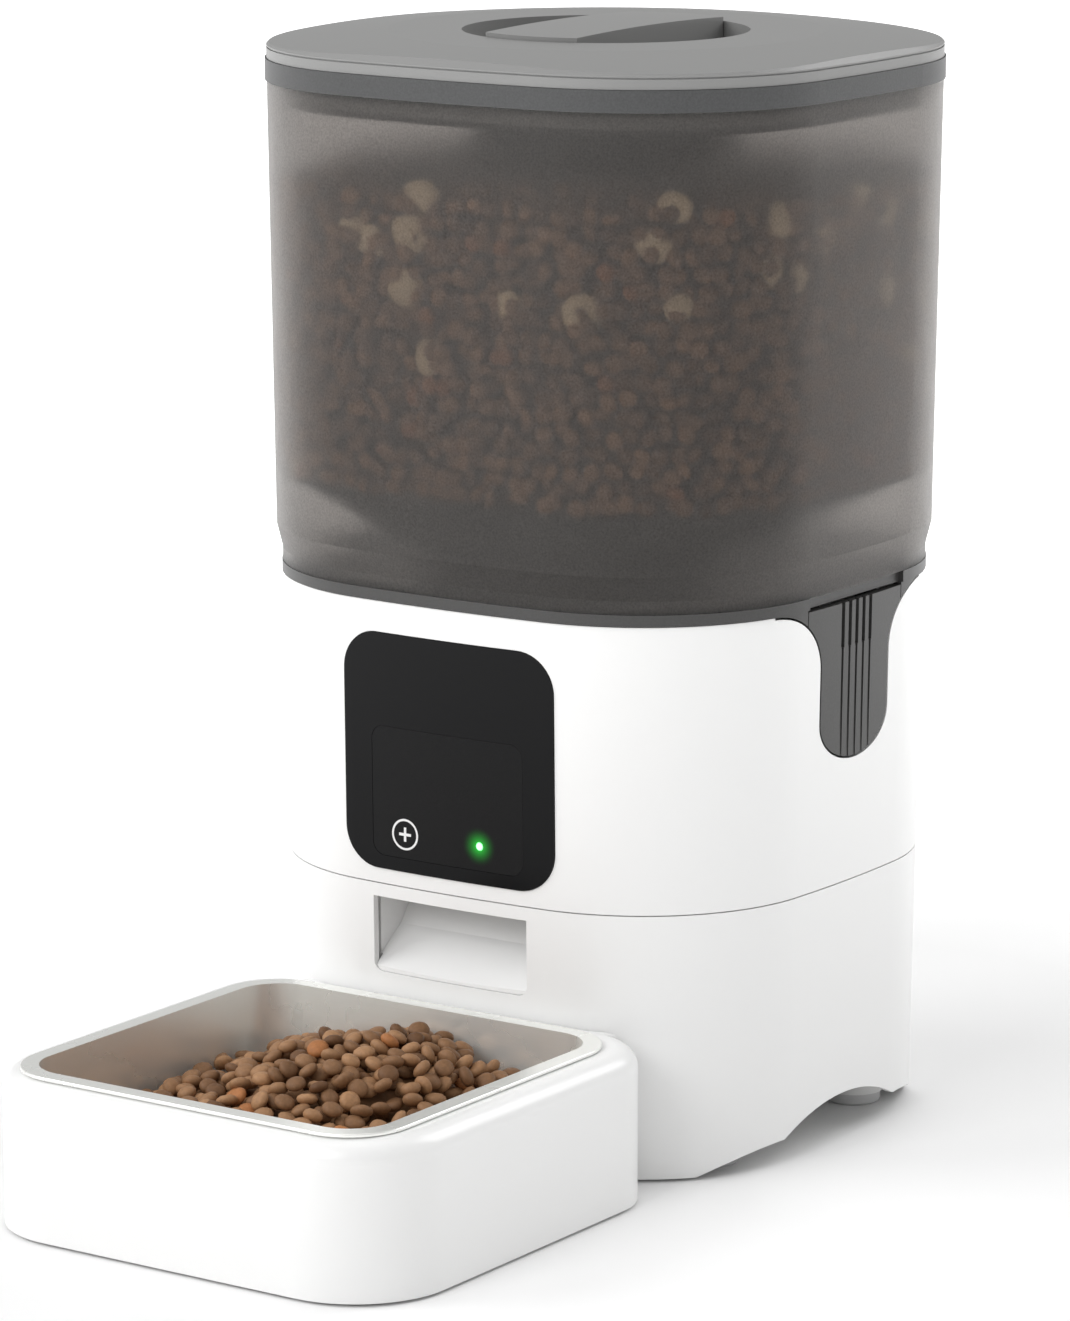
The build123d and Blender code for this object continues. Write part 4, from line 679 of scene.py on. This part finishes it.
def heap_height(x, y):
    """Intended surface of the food in the bowl, without its single pieces."""
    u = (x - bowl_middle.x - HEAP_X) / HEAP_WIDE_X
    v = (y - bowl_middle.y - HEAP_Y) / HEAP_WIDE_Y
    lumps = HEAP_LUMP * sin(130 * x + 1.0) * sin(110 * y)
    return bowl_high.z - HEAP_LOW + HEAP_RISE * exp(-u * u - v * v) + lumps


CORE_COVER = 0.0085      # food pieces lie this deep over the core
CORE_GAP = 0.0025        # between the core's edge and the wall, measured at CORE_LEVEL
CORE_LEVEL = 0.01
CORE_UNDERSIDE = 0.0024


def bowl_core(share, angle, height):
    """Point of the bowl's core, whose plan follows the wall all round."""
    low, high = 0.0, 0.1
    for _ in range(18):
        reach = (low + high) / 2
        x = bowl_middle.x + reach * cos(angle)
        y = bowl_middle.y + reach * sin(angle)
        if wall_gap(x, y, bowl_low.z + CORE_LEVEL) > CORE_GAP:
            low = reach
        else:
            high = reach
    x = bowl_middle.x + share * low * cos(angle)
    y = bowl_middle.y + share * low * sin(angle)
    return Vector((x, y, height(x, y)))


def core_bottom(x, y):
    """Underside of the bowl's core, which is flat."""
    return bowl_low.z + CORE_UNDERSIDE


def core_top(x, y):
    """Top of the bowl's core."""
    return heap_height(x, y) - CORE_COVER


CELL = 0.0009            # grid on which the surface of the heap is kept
DROPS, PLACES = 1800, 9
EDGE_CELLS = 4
HEAP_FULL = 0.001        # a place this near the intended surface takes no more
HEAP_OVER = 0.0022       # a piece that would rest higher than this over it is left out
SETTLE = 0.0003
SLOPE_SHARE, SLOPE_MOST = 0.5, 0.8
BOWL_TILT = 0.42


def resting(surface, i, j, normal, radius, half):
    """Height at which a tilted piece touches the surface, and its own top over each cell."""
    flat = 1 / radius**2
    bulge = 1 / half**2 - flat
    lead = flat + bulge * normal.z**2
    span = int(radius / CELL) + 1
    rest, cells = 0.0, []
    for di in range(-span, span + 1):
        for dj in range(-span, span + 1):
            if not (0 <= i + di < len(surface) and 0 <= j + dj < len(surface[0])):
                continue
            dx, dy = di * CELL, dj * CELL
            across = normal.x * dx + normal.y * dy
            middle = bulge * normal.z * across
            space = middle**2 - lead * (flat * (dx * dx + dy * dy) + bulge * across**2 - 1)
            if space <= 0:
                continue
            root = sqrt(space)
            rest = max(rest, surface[i + di][j + dj] + (middle + root) / lead)
            cells.append((i + di, j + dj, (root - middle) / lead))
    return rest, cells


def lean_on(surface, i, j):
    """Normal of a piece that partly follows the slope under it."""
    slopes = (
        (surface[i + 2][j] - surface[i - 2][j]) / (4 * CELL),
        (surface[i][j + 2] - surface[i][j - 2]) / (4 * CELL),
    )
    eased = [SLOPE_SHARE * max(min(slope, SLOPE_MOST), -SLOPE_MOST) for slope in slopes]
    return tilted(*eased, BOWL_TILT)


def fill_bowl():
    """Drops pieces one by one, each to the lowest of a few random places."""
    heap = Heap(14, 6)
    heap.add_core(bowl_core, core_bottom, core_top)
    columns, rows = int(2 * bowl_reach.x / CELL), int(2 * bowl_reach.y / CELL)
    left, front = bowl_middle.x - bowl_reach.x, bowl_middle.y - bowl_reach.y
    aim = [
        [heap_height(left + i * CELL, front + j * CELL) for j in range(rows)]
        for i in range(columns)
    ]
    surface = [[value - CORE_COVER for value in line] for line in aim]
    for _ in range(DROPS):
        radius, half, tone = kibble_size()
        best = None
        for _ in range(PLACES):
            i = draw.randrange(EDGE_CELLS, columns - EDGE_CELLS)
            j = draw.randrange(EDGE_CELLS, rows - EDGE_CELLS)
            x, y = left + i * CELL, front + j * CELL
            if wall_gap(x, y, surface[i][j]) < radius + KIBBLE_WALL_GAP:
                continue
            need = surface[i][j] - aim[i][j]
            if best is None or need < best[0]:
                best = (need, i, j, x, y)
        if best is None or best[0] > -HEAP_FULL:
            continue
        _, i, j, x, y = best
        normal = lean_on(surface, i, j)
        rest, cells = resting(surface, i, j, normal, radius, half)
        if rest > aim[i][j] + HEAP_OVER:
            continue
        rest -= SETTLE
        for a, b, top in cells:
            surface[a][b] = max(surface[a][b], rest + top)
        heap.add_lens(Vector((x, y, rest)), normal, radius, half, tone)
    return heap.finish("kibble_in_bowl")


kibble_in_bowl = fill_bowl()
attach(kibble_in_bowl, "steel_bowl")

# In the tank the pieces lie against the wall and over the top of a closed core, which stays
# clear of the sloping floor, the throat and the stirrer.

tank_low, tank_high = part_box("tank")
tank_middle = (tank_low + tank_high) / 2
hopper_low, hopper_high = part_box("tank_hopper")
stirrer_low, stirrer_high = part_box("stirrer")
tank_tree = BVHTree.FromPolygons(
    [vertex.co for vertex in nodes["tank"].data.vertices],
    [tuple(face.vertices) for face in nodes["tank"].data.polygons],
)
FOOD_CLEAR = 0.003       # between the food and the slope or the stirrer
FOOD_LOW = hopper_high.z + FOOD_CLEAR
FOOD_TOP = tank_high.z - 0.028
CORE_INSET = 0.009
CORE_UNDER_TOP = 0.004
TOP_LUMP = 0.003
THROAT_NEAR = 0.03       # from here out the core's underside rises
THROAT_WIDE = 0.04


def inner_wall(angle, z):
    """Point and inward normal of the tank's inner wall."""
    middle = Vector((tank_middle.x, tank_middle.y, z))
    point, normal, _, _ = tank_tree.ray_cast(middle, Vector((cos(angle), sin(angle), 0.0)))
    return point, normal if normal.dot(point - middle) < 0 else -normal


def food_top(x, y):
    """Top of the core in the tank."""
    return FOOD_TOP + TOP_LUMP * sin(38 * x + 0.6) * cos(33 * y) - CORE_UNDER_TOP


def food_floor(x, y):
    """Underside of the food's core: over the stirrer, then up along the sloping floor."""
    away = hypot(x - tank_middle.x, y - (stirrer_low.y + stirrer_high.y) / 2)
    slope = min(max((away - THROAT_NEAR) / THROAT_WIDE, 0.0), 1.0)
    return stirrer_high.z + FOOD_CLEAR + slope * (FOOD_LOW - stirrer_high.z - FOOD_CLEAR)


def tank_core(share, angle, height):
    """Point of the tank's core, whose plan follows the wall all round."""
    wall, _ = inner_wall(angle, FOOD_LOW)
    middle = Vector((tank_middle.x, tank_middle.y, 0.0))
    away = Vector((wall.x, wall.y, 0.0)) - middle
    at = middle + share * (away - CORE_INSET * away.normalized())
    return Vector((at.x, at.y, height(at.x, at.y)))


def support(normal, direction, radius, half):
    """How far a tilted piece reaches from its centre in a direction."""
    lean = normal.dot(direction)
    return sqrt(radius**2 * (1 - lean * lean) + half**2 * lean * lean)


def shaken(direction, amount):
    """A direction turned a little at random."""
    return (direction + amount * Vector([draw.uniform(-1, 1) for _ in range(3)])).normalized()


ROW_PITCH, ROW_PIECES = 0.0056, 104
ROW_SWAY, ROW_BOB = 0.3, 0.25            # shares of a place along a row, and of the pitch
WALL_DEPTHS = (0.0, 0.0, 0.0015, 0.003)
WALL_TUMBLE, TOP_TILT = 0.8, 0.5
TOP_PIECES, TOP_LIFT = 620, 0.6
BISCUITS, BISCUIT_TUMBLE = 46, 0.3
BISCUIT_R, BISCUIT_HALF_T = (0.005, 0.0075), 0.0024
BISCUIT_DEPTH, BISCUIT_FALL = 0.0042, 0.03


def fill_tank():
    """Pieces in rows round the wall, each tilted at random, and a loose layer on top."""
    heap = Heap(9, 5)
    heap.add_core(tank_core, food_floor, food_top)
    rows = int((FOOD_TOP - FOOD_LOW) / ROW_PITCH)
    for row in range(rows + 1):
        for step in range(ROW_PIECES):
            along = step + 0.5 * (row % 2) + draw.uniform(-ROW_SWAY, ROW_SWAY)
            angle = tau * along / ROW_PIECES
            z = FOOD_LOW + (row + draw.uniform(-ROW_BOB, ROW_BOB)) * ROW_PITCH
            radius, half, tone = kibble_size()
            wall, inwards = inner_wall(angle, z)
            normal = shaken(inwards, WALL_TUMBLE)
            reach = support(normal, inwards, radius, half)
            depth = KIBBLE_WALL_GAP + reach + draw.choice(WALL_DEPTHS)
            heap.add_lens(wall + depth * inwards, normal, radius, half, tone)
    # a few large pale biscuits, most of them near the top
    for _ in range(BISCUITS):
        angle = draw.uniform(0.0, tau)
        z = FOOD_TOP - abs(draw.gauss(0.0, BISCUIT_FALL))
        wall, inwards = inner_wall(angle, max(z, FOOD_LOW))
        normal = shaken(inwards, BISCUIT_TUMBLE)
        radius = draw.uniform(*BISCUIT_R)
        centre = wall + BISCUIT_DEPTH * inwards
        heap.add_lens(centre, normal, radius, BISCUIT_HALF_T, BISCUIT_TONE)
    for _ in range(TOP_PIECES):
        angle, share = draw.uniform(0.0, tau), sqrt(draw.random())
        radius, half, tone = kibble_size()
        at = tank_core(share, angle, food_top)
        normal = tilted(0.0, 0.0, TOP_TILT)
        heap.add_lens(at + Vector((0.0, 0.0, TOP_LIFT * half)), normal, radius, half, tone)
    return heap.finish("kibble_in_tank")


kibble_in_tank = fill_tank()
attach(kibble_in_tank, "tank")


# ---- Feet, screws, pins and the hidden works -------------------------------------------------
# Rubber feet, plain steel screws and pins, the motor can, circuit boards, cells and contacts.
# The feet, the screw heads and the power jack show from outside; the rest is hidden.

rubber = moulded("rubber", (0.6, 0.6, 0.6), 0.75, grain=1400.0, depth=0.00005, drift=0.15)
connector_black = moulded("connector_black", (0.015, 0.015, 0.016), 0.4)
cell_jacket = moulded("cell_jacket", (0.03, 0.035, 0.05), 0.25, grain=500.0)
bag_cloth = (0.75, 0.74, 0.7)
bag_fabric = moulded("bag_fabric", bag_cloth, 0.85, grain=1800.0, depth=0.00012, speckle=0.3)


MARKS_DARKEN = 0.85
MARKS_GLOSS = 0.08


def turning_marks_group():
    """Fine turning marks, which change the shade and the gloss of plain metal."""
    group, given, result, where = new_group("turning_marks")
    for out in (False, True):
        group_socket(group, "Colour", "NodeSocketColor", out=out)
        group_socket(group, "Roughness", "NodeSocketFloat", out=out)
    link = group.links.new
    marks = place(group, "ShaderNodeTexNoise", Scale=1800.0, Detail=2.0)
    shade = place(group, "ShaderNodeMapRange", To_Min=MARKS_DARKEN, To_Max=1.0)
    tint = place(group, "ShaderNodeVectorMath", "SCALE")
    change = place(group, "ShaderNodeMapRange", To_Min=-MARKS_GLOSS, To_Max=MARKS_GLOSS)
    gloss = place(group, "ShaderNodeMath", "ADD")
    link(where.outputs["Object"], marks.inputs["Vector"])
    link(marks.outputs["Fac"], shade.inputs["Value"])
    link(marks.outputs["Fac"], change.inputs["Value"])
    link(given.outputs["Colour"], tint.inputs[0])
    link(shade.outputs["Result"], tint.inputs["Scale"])
    link(tint.outputs[0], result.inputs["Colour"])
    link(given.outputs["Roughness"], gloss.inputs[0])
    link(change.outputs["Result"], gloss.inputs[1])
    link(gloss.outputs[0], result.inputs["Roughness"])
    return group


turning_marks = turning_marks_group()


def machined(name, colour, roughness):
    """Plain metal with fine turning marks."""
    material, tree, shader = new_finish(name)
    marks = grouped(tree, turning_marks, Colour=(*colour, 1.0), Roughness=roughness)
    tree.links.new(marks.outputs["Colour"], shader.inputs["Base Color"])
    tree.links.new(marks.outputs["Roughness"], shader.inputs["Roughness"])
    shader.inputs["Metallic"].default_value = 1.0
    return material


plain_steel = machined("plain_steel", (0.6, 0.6, 0.61), 0.35)
motor_steel = machined("motor_steel", (0.45, 0.45, 0.47), 0.4)
nickel = machined("nickel", (0.72, 0.7, 0.64), 0.22)


def circuit_board():
    """Green solder mask over a faint grid of copper traces."""
    material, tree, shader = new_finish("circuit_board")
    where = place(tree, "ShaderNodeTexCoord")
    traces = place(tree, "ShaderNodeTexBrick", Scale=180.0, Mortar_Size=0.12)
    traces.inputs["Color1"].default_value = (0.01, 0.11, 0.045, 1.0)
    traces.inputs["Color2"].default_value = (0.012, 0.13, 0.055, 1.0)
    traces.inputs["Mortar"].default_value = (0.03, 0.22, 0.1, 1.0)
    tree.links.new(where.outputs["Object"], traces.inputs["Vector"])
    tree.links.new(traces.outputs["Color"], shader.inputs["Base Color"])
    shader.inputs["Roughness"].default_value = 0.3
    return material


board_green = circuit_board()

for name in ("rubber_feet", "bowl_feet"):
    dress(name, rubber)
for name in ("cover_screws", "door_pin", "latch_pins", "desiccant_pin"):
    dress(name, plain_steel)
for name in ("rotor_shaft", "motor_pinion"):
    dress(name, plain_steel)
for name in ("panel_board", "main_board"):
    dress(name, board_green)
for name in ("power_jack", "gearbox_case"):
    dress(name, connector_black)
dress("motor_can", motor_steel)
dress("battery_contacts", nickel)
dress("battery_cells", cell_jacket)
dress("desiccant_bag", bag_fabric)
